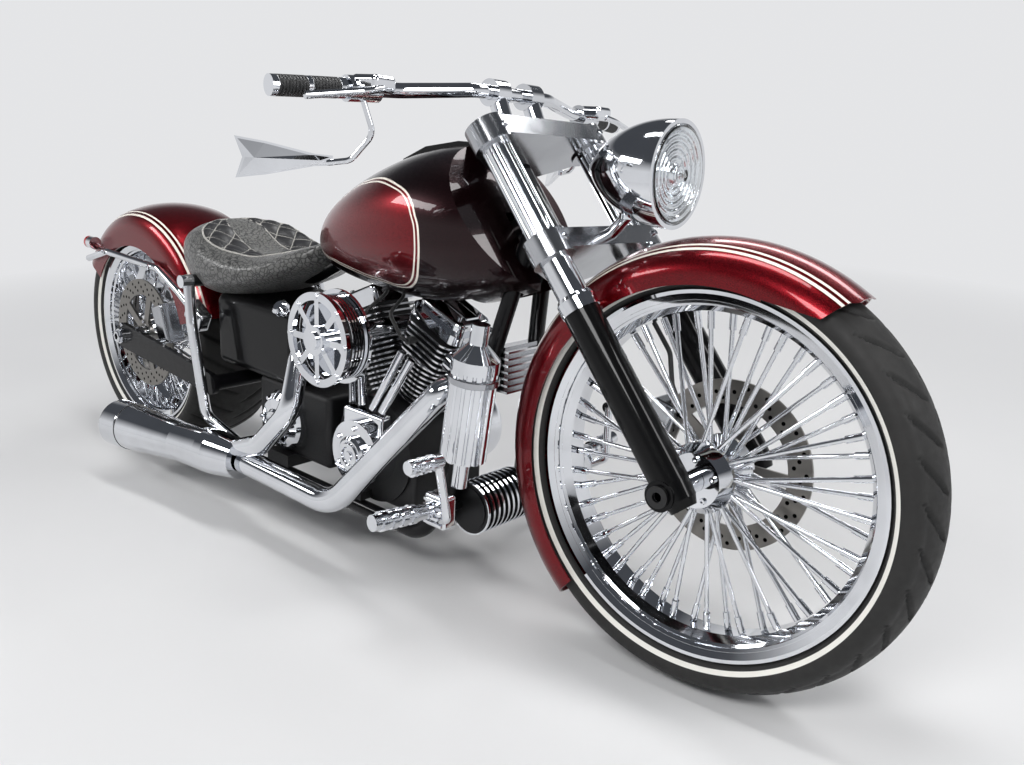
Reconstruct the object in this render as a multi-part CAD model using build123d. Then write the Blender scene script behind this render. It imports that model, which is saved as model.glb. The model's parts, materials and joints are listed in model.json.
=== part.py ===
"""Chopper motorcycle with an air-cooled V-twin, parked on its side stand.

Every piece is drawn upright in the bike's own frame, in millimetres: X forward, Y left, Z up, with the
origin on the ground under the rear axle. The last section leans the bike onto its side stand, turns the
steering to where it rests and writes one file for each piece."""
from build123d import *
from math import atan2, cos, degrees, radians, sin, sqrt
import os

# Parked attitude
LEAN = 4.0                  # degrees to the left, onto the side stand
REST_STEER = 3.7            # degrees to the left

# Clearances
FIT = 0.3                   # between pieces that are pressed or clamped together
RUN = 1.0                   # between a turning piece and what carries it

# Chassis
WHEELBASE = 1690.0
RAKE = 39.4                 # degrees
AXLE_AHEAD = 70.0           # front axle ahead of the steering axis
FORK_AHEAD = 80.0           # fork tubes ahead of the steering axis
FORK_HALF = 140.0           # fork tubes either side of the centre plane
FRAME_HALF = 128.0          # lower frame rails either side of the centre plane
RAIL_RADIUS = 16.0
RAIL_HEIGHT = 112.0
BACKBONE_RADIUS = 22.0

# Front wheel
FRONT_RADIUS = 374.0
FRONT_WIDTH = 130.0
FRONT_BEAD = 292.0
FRONT_LIP = 309.0
FRONT_RIM_WIDTH = 89.0
FRONT_SHOULDER_DROP = 15.0
FRONT_SHOULDER_HALF = 46.0

# Rear wheel
REAR_RADIUS = 316.0
REAR_WIDTH = 240.0
REAR_BEAD = 229.0
REAR_LIP = 243.0
REAR_RIM_WIDTH = 203.0
REAR_SHOULDER_DROP = 16.0
REAR_SHOULDER_HALF = 98.0

# Axles and hubs
AXLE_RADIUS = 12.7
AXLE_BORE = 8.0
FRONT_AXLE_REACH = 178.0
REAR_AXLE_REACH = 184.0
SPOKE_COUNT = 52
SPOKE_RADIUS = 4.0
NIPPLE_RADIUS = 6.2
NIPPLE_LENGTH = 30.0
FLANGE_THICKNESS = 8.0
FRONT_FLANGE_RADIUS = 60.0
FRONT_FLANGE_HALF = 36.0
FRONT_HUB_HALF = 61.0
REAR_FLANGE_RADIUS = 60.0
REAR_FLANGE_HALF = 84.0
REAR_HUB_RIGHT = 106.0
REAR_HUB_LEFT = 132.0
HUB_BARREL_RADIUS = 38.0
HUB_CAP_RADIUS = 46.0
SPOKE_CROSSING = 15.0       # crossing spokes leave the hub this far apart
SPOKE_ROOT = 9.0            # depth of a spoke's foot in the flange

# Brakes and final drive
ROTOR_THICKNESS = 5.0
REAR_ROTOR_FACE = -REAR_HUB_RIGHT - FIT - ROTOR_THICKNESS
FRONT_ROTOR_RADIUS = 150.0
REAR_ROTOR_RADIUS = 146.0
PULLEY_RADIUS = 112.0
DRIVE_PULLEY_RADIUS = 48.0
BELT_WIDTH = 20.0
BELT_INSIDE = 134.0         # inner edge of the belt, from the centre plane
BELT_THICKNESS = 5.0

# Fenders
SHEET = 3.0
FRONT_FENDER_GAP = 15.0     # tyre crown to the inside of the fender
REAR_FENDER_GAP = 26.0
FRONT_FENDER_HALF = 82.0
REAR_FENDER_HALF = 131.0
REAR_FENDER_EDGE = 236.0    # lower edge, from the axle
FRONT_FENDER_EDGE = 318.0

# Fork
TUBE_RADIUS = 26.5
STEM_RADIUS = 14.0
NECK_RADIUS = 30.0
LEG_RADIUS = 31.0
LUG_HALF = LEG_RADIUS + 1.0
LEG_TOP = 318.0
COLLAR_HEIGHT = 28.0
COLLAR_RADIUS = LEG_RADIUS + 2.0
LOWER_TREE = 437.0
TOP_TREE = 660.0
TREE_THICKNESS = 44.0
TREE_END_RADIUS = 38.0

# Swingarm and rear frame
SWINGARM_INSIDE = 160.0
SWINGARM_THICKNESS = 12.0
UPRIGHT_HALF = 192.0
UPRIGHT_RADIUS = 13.0
PIVOT_X = 425.0
PIVOT_Z = 276.0

# Engine
CRANK_X = 955.0
CRANK_Z = 240.0
V_HALF_ANGLE = 22.5
CASE_RADIUS = 115.0
CASE_HALF = 105.0
CYLINDER_RADIUS = 64.0
BARREL_START = 112.0
HEAD_START = 222.0
ROCKER_START = 298.0
ROCKER_END = 345.0
GEARBOX_TOP = 318.0
GEARBOX_RIGHT = 112.0
HEAD_FIN_HALF = 67.0
HEAD_FIN_DEPTH = 138.0
ENGINE_ROOM_HALF = 68.0     # recess under the tank, over the rocker boxes
ENGINE_ROOM_TOP = 598.0

RAKE_SIN = sin(radians(RAKE))
RAKE_COS = cos(radians(RAKE))
UP_FORK = Vector(-RAKE_SIN, 0, RAKE_COS)
FORWARD_FORK = Vector(RAKE_COS, 0, RAKE_SIN)
FRONT_AXLE = Vector(WHEELBASE, 0, FRONT_RADIUS)
REAR_AXLE = Vector(0, 0, REAR_RADIUS)
STEERING_FOOT = FRONT_AXLE - FORWARD_FORK * AXLE_AHEAD
FORK_PLANE = Plane(origin=STEERING_FOOT, x_dir=FORWARD_FORK, z_dir=UP_FORK)
NECK_LOW = LOWER_TREE + TREE_THICKNESS / 2 + RUN
NECK_HIGH = TOP_TREE - TREE_THICKNESS / 2 - RUN
BOTTOM = (Align.CENTER, Align.CENTER, Align.MIN)
OUTWARD = (Align.MIN, Align.CENTER, Align.MIN)


def fork_point(ahead, left, up):
    """A point given along and across the steering axis."""
    return STEERING_FOOT + FORWARD_FORK * ahead + Vector(0, left, 0) + UP_FORK * up


def rod(start, end, radius, end_radius=None):
    """A round bar between two points, tapered where an end radius is given."""
    start = Vector(*start)
    line = Vector(*end) - start
    spot = Plane(origin=start, z_dir=line)
    if end_radius is None:
        return spot * Cylinder(radius, line.length, align=BOTTOM)
    return spot * Cone(radius, end_radius, line.length, align=BOTTOM)


def tube(points, bends, radius, bore=0.0):
    """A bent tube through straight runs joined by arcs."""
    path = FilletPolyline(*[Vector(*spot) for spot in points], radius=bends)
    start = Plane(origin=path @ 0, z_dir=path % 0)
    body = sweep(start * Circle(radius), path=path)
    if bore:
        body -= sweep(start * Circle(bore), path=path)
    return body


def block(low, high, rounding=0.0):
    """A box between two corners with all its edges rounded."""
    size = [high[i] - low[i] for i in range(3)]
    middle = [(high[i] + low[i]) / 2 for i in range(3)]
    body = Pos(*middle) * Box(*size)
    if rounding:
        body = fillet(body.edges(), rounding)
    return body


def across(centre):
    """A plane whose Z runs to the left, for pieces that turn about an axle."""
    return Plane(origin=centre, x_dir=(1, 0, 0), z_dir=(0, 1, 0))


def turned(points):
    """A ring or disc turned from (radius, height) points about Z."""
    return revolve(Plane.XZ * make_face(Polyline(*points, close=True)), Axis.Z)


def disc(radius, low, high, bore=0.0):
    """A flat ring between two heights about Z."""
    body = Pos(0, 0, low) * Cylinder(radius, high - low, align=BOTTOM)
    if bore:
        body -= Pos(0, 0, low) * Cylinder(bore, high - low, align=BOTTOM)
    return body


def mirrored(piece):
    """The piece and its mirror image on the other side of the bike."""
    return [piece, mirror(piece, about=Plane.XZ)]


# Wheels, each drawn about Z and laid across the bike

def tyre(radius, width, bead, lip, rim_width, shoulder_drop, shoulder_half):
    half_bead = rim_width / 2 - FIT
    above_lip = lip + 2.0
    widest = (lip + radius) / 2 - 4.0
    shoulder = radius - shoulder_drop
    outline = [
        Line((bead + FIT, -half_bead), (bead + FIT, half_bead)),
        Line((bead + FIT, half_bead), (above_lip, half_bead)),
        ThreePointArc((above_lip, half_bead), (widest, width / 2), (shoulder, shoulder_half)),
        ThreePointArc((shoulder, shoulder_half), (radius, 0), (shoulder, -shoulder_half)),
        ThreePointArc((shoulder, -shoulder_half), (widest, -width / 2), (above_lip, -half_bead)),
        Line((above_lip, -half_bead), (bead + FIT, -half_bead)),
    ]
    return revolve(Plane.XZ * make_face(outline), Axis.Z)


def rim(bead, lip, rim_width):
    """A stepped drop-centre rim."""
    half = rim_width / 2
    edge = half + 6.0
    well = bead - 14.0
    wall = 5.0
    upper = [
        (well, 14.0), (bead, 28.0), (bead, half), (lip, half), (lip, edge), (lip - 6.0, edge),
        (bead - wall, edge - 9.0), (bead - wall, half - 9.0), (bead - 9.0, half - 12.0),
        (bead - 9.0, 32.0), (well - wall, 18.0),
    ]
    lower = [(r, -z) for r, z in upper]
    outer = upper[:5]
    inner = upper[5:]
    points = [(r, -z) for r, z in reversed(outer)] + outer + inner + [(r, -z) for r, z in reversed(inner)]
    return turned(points)


def spoked_hub(rim_seat, flange_radius, flange_half, hub_right, hub_left):
    """A turned hub with its fat crossed spokes and their nipples, seated just inside the rim."""
    half = FLANGE_THICKNESS / 2
    hub = turned([
        (0, -hub_right), (HUB_CAP_RADIUS, -hub_right), (flange_radius, -flange_half - half),
        (flange_radius, -flange_half + half), (HUB_BARREL_RADIUS, -flange_half + 3 * half),
        (HUB_BARREL_RADIUS, flange_half - 3 * half), (flange_radius, flange_half - half),
        (flange_radius, flange_half + half), (HUB_CAP_RADIUS, hub_left), (0, hub_left)])
    per_row = SPOKE_COUNT // 4
    step = 360.0 / per_row
    in_flange = flange_radius - SPOKE_ROOT
    in_barrel = HUB_BARREL_RADIUS - SPOKE_RADIUS
    rows = [  # side, lean in steps, start in steps, distance inside the flange, radius of the foot
        (-1, -0.5, 0.00, 0.0, in_flange),
        (-1, 0.5, 0.50, SPOKE_CROSSING, in_barrel),
        (1, -0.5, 0.25, 0.0, in_flange),
        (1, 0.5, 0.75, SPOKE_CROSSING, in_barrel),
    ]
    spokes = []
    for side, lean, start, inset, root in rows:
        for k in range(per_row):
            hub_turn = radians((k + start + lean) * step)
            rim_turn = radians((k + start) * step)
            seat = rim_seat - FIT
            foot = Vector(root * cos(hub_turn), root * sin(hub_turn), side * (flange_half - inset))
            tip = Vector(seat * cos(rim_turn), seat * sin(rim_turn), side * 7.0)
            line = (tip - foot).normalized()
            spokes.append(rod(foot, tip - line * 1.0, SPOKE_RADIUS))
            spokes.append(rod(tip - line * NIPPLE_LENGTH, tip - line * 1.5, NIPPLE_RADIUS))
    body = hub.fuse(*spokes)
    body = body & disc(rim_seat - FIT, -hub_right, hub_left)
    return body - disc(AXLE_RADIUS + FIT, -hub_right, hub_left)


def rotor(radius, ring_width, hub_radius, bolt_face, arms=5):
    """A floating brake disc: braking ring and carrier arms, its near face at bolt_face."""
    top = bolt_face + ROTOR_THICKNESS
    body = disc(radius, bolt_face, top, radius - ring_width)
    body += disc(hub_radius + 12.0, bolt_face, top, hub_radius)
    for k in range(arms):
        turn = Rot(0, 0, 360.0 / arms * k)
        arm = Box(radius - ring_width - hub_radius + 4.0, 22.0, ROTOR_THICKNESS, align=OUTWARD)
        body += turn * Pos(hub_radius + 4.0, 0, bolt_face) * arm
    return body


# Steered pieces

def fender(axle, crown, half, edge, side_top, shoulder, ahead, behind):
    """A shell round a wheel, from so many degrees ahead of its top to so many behind.

    Its section, as (radius, across): a flat side from edge to side_top, a tangent arc in to the shoulder,
    and one arc over the crown to the other side."""
    def skin(inset):
        return [
            (edge, half - inset),
            (side_top, half - inset),
            (shoulder[0] - 0.8 * inset, shoulder[1] - 0.6 * inset),
            (crown - inset, 0.0),
        ]

    def flip(spot):
        return (spot[0], -spot[1])

    edge_o, side_o, shoulder_o, top_o = skin(0.0)
    edge_i, side_i, shoulder_i, top_i = skin(SHEET)
    outline = [
        Line(edge_o, side_o),
        TangentArc(side_o, shoulder_o, tangent=(1, 0)),
        ThreePointArc(shoulder_o, top_o, flip(shoulder_o)),
        TangentArc(flip(side_o), flip(shoulder_o), tangent=(1, 0)),
        Line(flip(side_o), flip(edge_o)),
        Line(flip(edge_o), flip(edge_i)),
        Line(flip(edge_i), flip(side_i)),
        TangentArc(flip(side_i), flip(shoulder_i), tangent=(1, 0)),
        ThreePointArc(flip(shoulder_i), top_i, shoulder_i),
        TangentArc(side_i, shoulder_i, tangent=(1, 0)),
        Line(side_i, edge_i),
        Line(edge_i, edge_o),
    ]
    face = Plane.XZ * make_face(outline)
    return across(axle) * (Rot(0, 0, -90.0 - behind) * revolve(face, Axis.Z, ahead + behind))


def front_fender():
    crown = FRONT_RADIUS + FRONT_FENDER_GAP + SHEET
    shell = fender(FRONT_AXLE, crown, FRONT_FENDER_HALF, FRONT_FENDER_EDGE, 330.0, (crown - 22.0, 62.0),
        33.0, 140.0)
    nose = [(80, 311), (174, 297), (200, 322), (420, 342), (420, 40), (80, 40)]
    cutter = extrude(Plane.XZ * make_face(Polyline(*nose, close=True)), 200, both=True)
    shell -= Pos(FRONT_AXLE) * cutter
    boss_at = LEG_TOP + 8.0
    bosses = [
        rod(fork_point(FORK_AHEAD, side * (FRONT_FENDER_HALF - 1.5), boss_at),
            fork_point(FORK_AHEAD, side * (FORK_HALF - COLLAR_RADIUS - FIT), boss_at), 9.0)
        for side in (-1, 1)
    ]
    return shell.fuse(*bosses)


def tree(height, blind=False):
    """A fork yoke: one smooth plate with a round end on each fork tube."""
    half = TREE_THICKNESS / 2
    outline = make_hull((
        Pos(FORK_AHEAD, FORK_HALF) * Circle(TREE_END_RADIUS)
        + Pos(FORK_AHEAD, -FORK_HALF) * Circle(TREE_END_RADIUS)
        + Circle(NECK_RADIUS)).edges())
    plate = extrude(Pos(0, 0, -half + 4.0) * outline, TREE_THICKNESS - 8.0)
    body = plate
    for side in (-1, 1):
        body += Pos(FORK_AHEAD, side * FORK_HALF, 0) * disc(TREE_END_RADIUS, -half, half)
    for side in (-1, 1):
        depth = -8.0 if blind else 0.0
        bore = disc(TUBE_RADIUS + FIT, -half - 1.0, half + 1.0 + depth)
        body -= Pos(FORK_AHEAD, side * FORK_HALF, 0) * bore
    body -= disc(STEM_RADIUS + FIT, -half, half)
    return FORK_PLANE * Pos(0, 0, height) * body


def fork_tube():
    flutes = 14
    groove = 4.0
    section = Circle(TUBE_RADIUS)
    for k in range(flutes):
        section -= Rot(0, 0, 360.0 / flutes * k) * Pos(TUBE_RADIUS + 1.2, 0) * Circle(groove)
    low = LOWER_TREE + TREE_THICKNESS / 2 + 4.0
    high = TOP_TREE - TREE_THICKNESS / 2 - 4.0
    start = LEG_TOP + COLLAR_HEIGHT + FIT
    end = TOP_TREE + TREE_THICKNESS / 2 - 8.0
    body = disc(TUBE_RADIUS, start, low) + extrude(Pos(0, 0, low) * section, high - low) + disc(TUBE_RADIUS,
        high, end)
    return FORK_PLANE * Pos(FORK_AHEAD, FORK_HALF, 0) * body


def fork_leg():
    leg = FORK_PLANE * Pos(FORK_AHEAD, FORK_HALF, 0) * turned([
        (0, -34), (22, -34), (LEG_RADIUS - 3, -20), (LEG_RADIUS, 10), (LEG_RADIUS, LEG_TOP), (0, LEG_TOP)])
    lug = rod(fork_point(AXLE_AHEAD, FORK_HALF - LUG_HALF, 0),
        fork_point(AXLE_AHEAD, FORK_HALF + LUG_HALF, 0), 25.0)
    hole = rod(fork_point(AXLE_AHEAD, 0, 0), fork_point(AXLE_AHEAD, 2 * FORK_HALF, 0), AXLE_RADIUS + FIT)
    return leg + lug - hole


def fork_collar():
    top = LEG_TOP + COLLAR_HEIGHT
    return FORK_PLANE * Pos(FORK_AHEAD, FORK_HALF, 0) * turned([
        (0, LEG_TOP + FIT), (COLLAR_RADIUS, LEG_TOP + FIT), (COLLAR_RADIUS, top - 6), (COLLAR_RADIUS - 3,
            top), (0, top)])


def front_axle():
    reach = FRONT_AXLE_REACH
    body = disc(AXLE_RADIUS, -reach, reach)
    for side in (-1, 1):
        spacer_start = FRONT_HUB_HALF + RUN
        spacer_end = FORK_HALF - LUG_HALF - FIT
        low, high = sorted((side * spacer_start, side * spacer_end))
        body += disc(19.0, low, high)
        low, high = sorted((side * (FORK_HALF + LUG_HALF + FIT), side * reach))
        body += disc(18.0, low, high)
    body -= disc(AXLE_BORE, -reach, reach)
    return across(FRONT_AXLE) * body


def caliper(centre, radius, rotor_face, out_angle, length=104.0, slot_extra=2.0):
    """A brake caliper over a rotor's rim, at an angle about the axle counted from forward to up."""
    low = rotor_face - 26.0
    high = rotor_face + ROTOR_THICKNESS + 24.0
    body = Box(52.0, length, high - low)
    body = fillet(body.edges(), 9.0)
    body = Pos(radius - 8.0, 0, (low + high) / 2) * body
    slot = disc(radius + slot_extra, rotor_face - slot_extra, rotor_face + ROTOR_THICKNESS + slot_extra)
    return across(centre) * Rot(0, 0, -out_angle) * (body - slot)


def front_caliper():
    """Caliper on a bracket from the left fork leg."""
    body = caliper(FRONT_AXLE, FRONT_ROTOR_RADIUS, FRONT_HUB_HALF + FIT, 165.0)
    inboard = FRONT_AXLE + Vector(-132, 82, 48)
    body += rod(inboard, fork_point(FORK_AHEAD, FORK_HALF, 118.0), 9.0)
    leg_room = rod(fork_point(FORK_AHEAD, FORK_HALF, 0), fork_point(FORK_AHEAD, FORK_HALF, LEG_TOP),
        LEG_RADIUS + FIT)
    return (body - leg_room).solids().sort_by(SortBy.VOLUME)[-1]


def rear_caliper():
    """Caliper on a boss against the right swingarm plate."""
    body = caliper(REAR_AXLE, REAR_ROTOR_RADIUS, REAR_ROTOR_FACE, 20.0)
    return body + rod((140, REAR_ROTOR_FACE - 16.0, 320), (140, -SWINGARM_INSIDE + FIT, 320), 9.0)


def brake_hose():
    """Hose from under the lower yoke down beside the left leg to the caliper."""
    start = LOWER_TREE - TREE_THICKNESS / 2 - FIT
    route = [(55, 96, start), (55, 96, 225), (36, 82, 172), (29, 80, 130)]
    body = tube([fork_point(*spot) for spot in route], [40, 30], 4.5)
    fitting = fork_point(55, 96, start)
    body += rod(fitting, fitting - UP_FORK * 22.0, 8.0)
    return (body - front_caliper()).solids().sort_by(SortBy.VOLUME)[-1]


LAMP_CENTRE = Vector(1565, 0, 852)
LAMP_RADIUS = 89.0
LAMP_LENGTH = 168.0
LAMP_PLANE = Plane(origin=LAMP_CENTRE, z_dir=(-1, 0, 0))


def dome(radius, base, height):
    """An arc from (radius, base) to the axis whose centre lies on the axis."""
    ball = (radius * radius + height * height) / (2 * height)
    via = radius / 2
    rise = height - (ball - sqrt(ball * ball - via * via))
    step = 1 if base >= 0 else -1
    return ThreePointArc((radius, base), (via, base + step * rise), (0, base + step * height))


def headlamp_shell(extra=0.0):
    """Teardrop shell, open at the front for the lens."""
    curve = Spline((LAMP_RADIUS + extra, 0), (72 + extra, 92), (12, LAMP_LENGTH + extra))
    profile = [Line((0, 8), (82, 8)), Line((82, 8), (82, 0)), Line((82, 0), (LAMP_RADIUS + extra, 0)), curve,
               Line((12, LAMP_LENGTH + extra), (0, LAMP_LENGTH + extra)), Line((0, LAMP_LENGTH + extra),
                   (0, 8))]
    return LAMP_PLANE * revolve(Plane.XZ * make_face(profile), Axis.Z)


def headlamp_lens():
    profile = [Line((0, 7.7), (81, 7.7)), Line((81, 7.7), (81, -0.5)), dome(81, -0.5, 12.0),
        Line((0, -12.5), (0, 7.7))]
    return LAMP_PLANE * revolve(Plane.XZ * make_face(profile), Axis.Z)


def headlamp_bracket():
    foot = fork_point(FORK_AHEAD + 20.0, 0, LOWER_TREE)
    head = Vector(1478, 0, 778)
    arm = rod(foot, head, 11.0) + Pos(head) * Cylinder(16.0, 12.0)
    return arm - headlamp_shell(FIT) - tree(LOWER_TREE)


BAR_RADIUS = 12.7
BAR_END = Vector(1120, 470, 940)
BAR_BEND = Vector(1160, 240, 953)
BAR_CENTRE = Vector(1205, 105, 967)
POD_START = 129.0           # switch pods, inboard of the bar's end
POD_END = 188.0
POD_RADIUS = 21.0


def on_bar(inboard, side=1):
    """A point on the outer straight of the bar, so far inboard of its end."""
    spot = BAR_END + (BAR_BEND - BAR_END).normalized() * inboard
    return Vector(spot.X, side * spot.Y, spot.Z)


def handlebar():
    left = [BAR_END, BAR_BEND, BAR_CENTRE]
    points = left + [Vector(p.X, -p.Y, p.Z) for p in reversed(left)]
    return tube(points, [120, 60, 60, 120], BAR_RADIUS)


def risers():
    pieces = []
    for side in (-1, 1):
        foot = fork_point(52, side * 48, TOP_TREE + TREE_THICKNESS / 2 - 8.0)
        head = Vector(BAR_CENTRE.X, side * 48, BAR_CENTRE.Z)
        stem = rod(foot, head, 17.0)
        clamp = Pos(head) * Rot(90, 0, 0) * Cylinder(24.0, 36.0)
        hole = Pos(head) * Rot(90, 0, 0) * Cylinder(BAR_RADIUS + FIT, 60.0)
        pieces.append(stem + clamp - hole - tree(TOP_TREE, blind=True))
    return pieces


def grip(side):
    body = rod(on_bar(-5, side), on_bar(126, side), 16.5)
    return body - rod(on_bar(-FIT, side), on_bar(140, side), BAR_RADIUS + FIT)


def control(side):
    """Switch pod, reservoir and lever on one side of the bar."""
    pod = rod(on_bar(POD_START, side), on_bar(POD_END, side), POD_RADIUS)
    reservoir = fillet(Box(60, 50, 28).edges(), 9.0)
    pod += Pos(*on_bar(160, side)) * Pos(26, 0, 8) * reservoir
    pod -= rod(on_bar(100, side), on_bar(220, side), BAR_RADIUS + FIT)
    lever = tube([(1200, side * 318, 950), (1206, side * 350, 944), (1180, side * 455, 928)], 60, 6.0)
    return pod + lever


def mirror_piece(side):
    stem = tube([(1150, side * 318, 944), (1164, side * 300, 880), (1125, side * 312, 835),
        (1088, side * 330, 828)], 26, 5.0)
    stem -= rod(on_bar(POD_START, side), on_bar(POD_END, side), POD_RADIUS + FIT)
    stem = stem.solids().sort_by(SortBy.VOLUME)[-1]
    plan = [(0, -8), (30, -10), (110, -27), (160, -34), (148, 0), (160, 34), (110, 27), (30, 10), (0, 8)]
    plate = extrude(make_face(Polyline(*plan, close=True)), 8.0)
    glass = Plane(origin=(1092, side * 322, 832), x_dir=(-0.72, side * 0.69, -0.03),
        z_dir=(-0.69, -side * 0.72, 0.05))
    return stem + glass * Pos(0, 0, -4) * plate


# Chassis pieces

BACKBONE_ROUTE = [(1275, 0, 746), (1120, 0, 660), (800, 0, 645), (610, 0, 552), (372, 0, 540)]
NECK_GUSSET = fork_point(-6, 0, NECK_LOW + 72)
DOWNTUBE_ROUTE = [
    (NECK_GUSSET.X, 22, NECK_GUSSET.Z), (1182, 112, 190), (1130, FRAME_HALF, RAIL_HEIGHT), (1080,
        FRAME_HALF, RAIL_HEIGHT)]
UPRIGHT_ROUTE = [
    (600, FRAME_HALF, RAIL_HEIGHT), (548, FRAME_HALF, RAIL_HEIGHT), (440, UPRIGHT_HALF, 205), (392,
        UPRIGHT_HALF, 420),
    (372, UPRIGHT_HALF - 8, 508)]


DOWNTUBE_MIRROR = [(x, -y, z) for x, y, z in DOWNTUBE_ROUTE]


def backbone():
    """Spine, steering neck and the cross tube behind the seat."""
    body = tube(BACKBONE_ROUTE, [90, 120, 120], BACKBONE_RADIUS)
    body += FORK_PLANE * disc(NECK_RADIUS, NECK_LOW, NECK_HIGH)
    body += rod((372, -UPRIGHT_HALF - 14, 520), (372, UPRIGHT_HALF + 14, 520), 15.0)
    return body - FORK_PLANE * disc(STEM_RADIUS + FIT, NECK_LOW - 1, NECK_HIGH + 1)


def downtube():
    body = tube(DOWNTUBE_ROUTE, [90, 60], RAIL_RADIUS)
    body -= FORK_PLANE * disc(NECK_RADIUS + FIT, NECK_LOW - 40, NECK_HIGH)
    return body - block((900, -60, 0), (1400, 0, 800))


def lower_rail():
    return rod((600, FRAME_HALF, RAIL_HEIGHT), (1080, FRAME_HALF, RAIL_HEIGHT), RAIL_RADIUS)


def rear_upright():
    body = tube(UPRIGHT_ROUTE, [50, 50, 60], UPRIGHT_RADIUS)
    return body - rod((372, -UPRIGHT_HALF - 14, 520), (372, UPRIGHT_HALF + 14, 520), 15.0 + FIT)


def egg_section(x, half, top, widest, low):
    """One cross-section of a rounded body at x: quarter ellipses meeting at the widest point."""
    plane = Plane(origin=(x, 0, widest), x_dir=(0, 1, 0), z_dir=(1, 0, 0))
    curve = [
        EllipticalCenterArc((0, 0), half, top - widest, start_angle=0, arc_size=180),
        EllipticalCenterArc((0, 0), half, widest - low, start_angle=180, arc_size=180),
    ]
    return plane * make_face(curve)


def fuel_tank():
    sections = [  # x, half width, top, widest, bottom
        (704, 40, 664, 636, 604),
        (750, 86, 730, 658, 584),
        (850, 130, 794, 686, 570),
        (980, 156, 848, 708, 562),
        (1105, 163, 874, 718, 566),
        (1230, 142, 866, 722, 592),
        (1320, 100, 836, 716, 624),
    ]
    body = loft([egg_section(*row) for row in sections])
    behind_fork = fork_point(-TREE_END_RADIUS - 8.0, 0, 0)
    front = Plane(origin=behind_fork, z_dir=FORWARD_FORK)
    body -= front * Pos(0, 0, 1000) * Box(3000, 3000, 2000)
    tunnel = BACKBONE_RADIUS + FIT
    roof = [(600, 500), (600, 590), (690, 625), (800, 678), (1105, 693), (1300, 800), (1400, 800),
        (1400, 500)]
    body -= extrude(Plane.XZ * make_face(Polyline(*roof, close=True)), tunnel, both=True)
    body -= block((720, -ENGINE_ROOM_HALF, 500), (1190, ENGINE_ROOM_HALF, ENGINE_ROOM_TOP))
    for route in (DOWNTUBE_ROUTE, DOWNTUBE_MIRROR):
        body -= tube(route, [90, 60], RAIL_RADIUS + 5.0)
    neck_space = FORK_PLANE * disc(NECK_RADIUS + 8.0, 300, 800)
    return (body - neck_space).solids().sort_by(SortBy.VOLUME)[-1]


def console():
    """Low dash along the tank's ridge."""
    points = [(945, 838), (1010, 866), (1100, 881), (1190, 879), (1196, 862), (1100, 866), (1010, 848),
        (945, 824)]
    return extrude(Plane.XZ * make_face(Polyline(*points, close=True)), 26, both=True) - fuel_tank()


def seat():
    sections = [  # x, half width, top, widest, bottom
        (262, 118, 640, 590, 545),
        (330, 160, 652, 560, 470),
        (430, 170, 618, 555, 480),
        (550, 150, 600, 560, 520),
        (660, 98, 628, 596, 566),
        (700, 60, 640, 618, 592),
    ]
    body = loft([egg_section(*row) for row in sections])
    body -= across(REAR_AXLE) * disc(REAR_RADIUS + REAR_FENDER_GAP + SHEET + FIT, -REAR_FENDER_HALF - 3.0,
        REAR_FENDER_HALF + 3.0)
    body -= block((340, -148, 400), (700, 148, 503))
    spine_space = [(300, 400), (300, 567), (600, 579), (760, 655), (900, 655), (900, 400)]
    body -= extrude(Plane.XZ * make_face(Polyline(*spine_space, close=True)), BACKBONE_RADIUS + 4, both=True)
    return body - rod((372, -260, 520), (372, 260, 520), 19.0)


def rear_fender():
    crown = REAR_RADIUS + REAR_FENDER_GAP + SHEET
    return fender(REAR_AXLE, crown, REAR_FENDER_HALF, REAR_FENDER_EDGE, 276.0, (crown - 15.5, 94.0), 74.0,
        58.0)


def fender_strut():
    inner = REAR_FENDER_HALF + 13.0
    bar = tube([(-232, inner, 492), (-120, inner, 524), (150, inner, 516), (250, inner, 470),
        (330, inner, 425)], 40, 9.0)
    seat_block = fillet(Box(70, 34, 52).edges(), 8.0)
    bar += Pos(348, inner + 6, 428) * Rot(0, 30, 0) * seat_block
    bar += rod((350, inner + 6, 432), (388, UPRIGHT_HALF, 432), 9.0)
    bar -= tube(UPRIGHT_ROUTE, [50, 50, 60], UPRIGHT_RADIUS + FIT)
    for x, z in ((-120, 524), (120, 517)):
        bar += rod((x, REAR_FENDER_HALF + FIT, z), (x, inner, z), 7.0)
    return bar.solids().sort_by(SortBy.VOLUME)[-1]


def oil_tank():
    return block((396, -132, GEARBOX_TOP + FIT), (712, 118, 494), 24.0)


def oil_cap():
    """Filler knob on the rounded upper right edge of the oil tank."""
    round_edge = 24.0
    outward = Vector(0, -sin(radians(45)), cos(radians(45)))
    edge = Vector(676, -132 + round_edge, 494 - round_edge) + outward * (round_edge + FIT)
    body = rod(edge, edge + outward * 12.0, 11.0) + rod(edge + outward * 12.0, edge + outward * 24.0, 19.0)
    return body + rod(edge + outward * 24.0, edge + outward * 29.0, 19.0, 12.0)


def swingarm():
    """Two side plates joined by the pivot tube, carrying the rear axle."""
    body = rod((PIVOT_X, -SWINGARM_INSIDE, PIVOT_Z), (PIVOT_X, SWINGARM_INSIDE, PIVOT_Z), 19.0)
    outline = make_hull((Circle(34.0) + Pos(PIVOT_X, REAR_RADIUS - PIVOT_Z) * Circle(26.0)).edges())
    for side in (-1, 1):
        low = min(side * SWINGARM_INSIDE, side * (SWINGARM_INSIDE + SWINGARM_THICKNESS))
        body += across(REAR_AXLE) * extrude(Pos(0, 0, low) * outline, SWINGARM_THICKNESS)
    return body - across(REAR_AXLE) * disc(AXLE_RADIUS + FIT, -200, 200)


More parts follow.
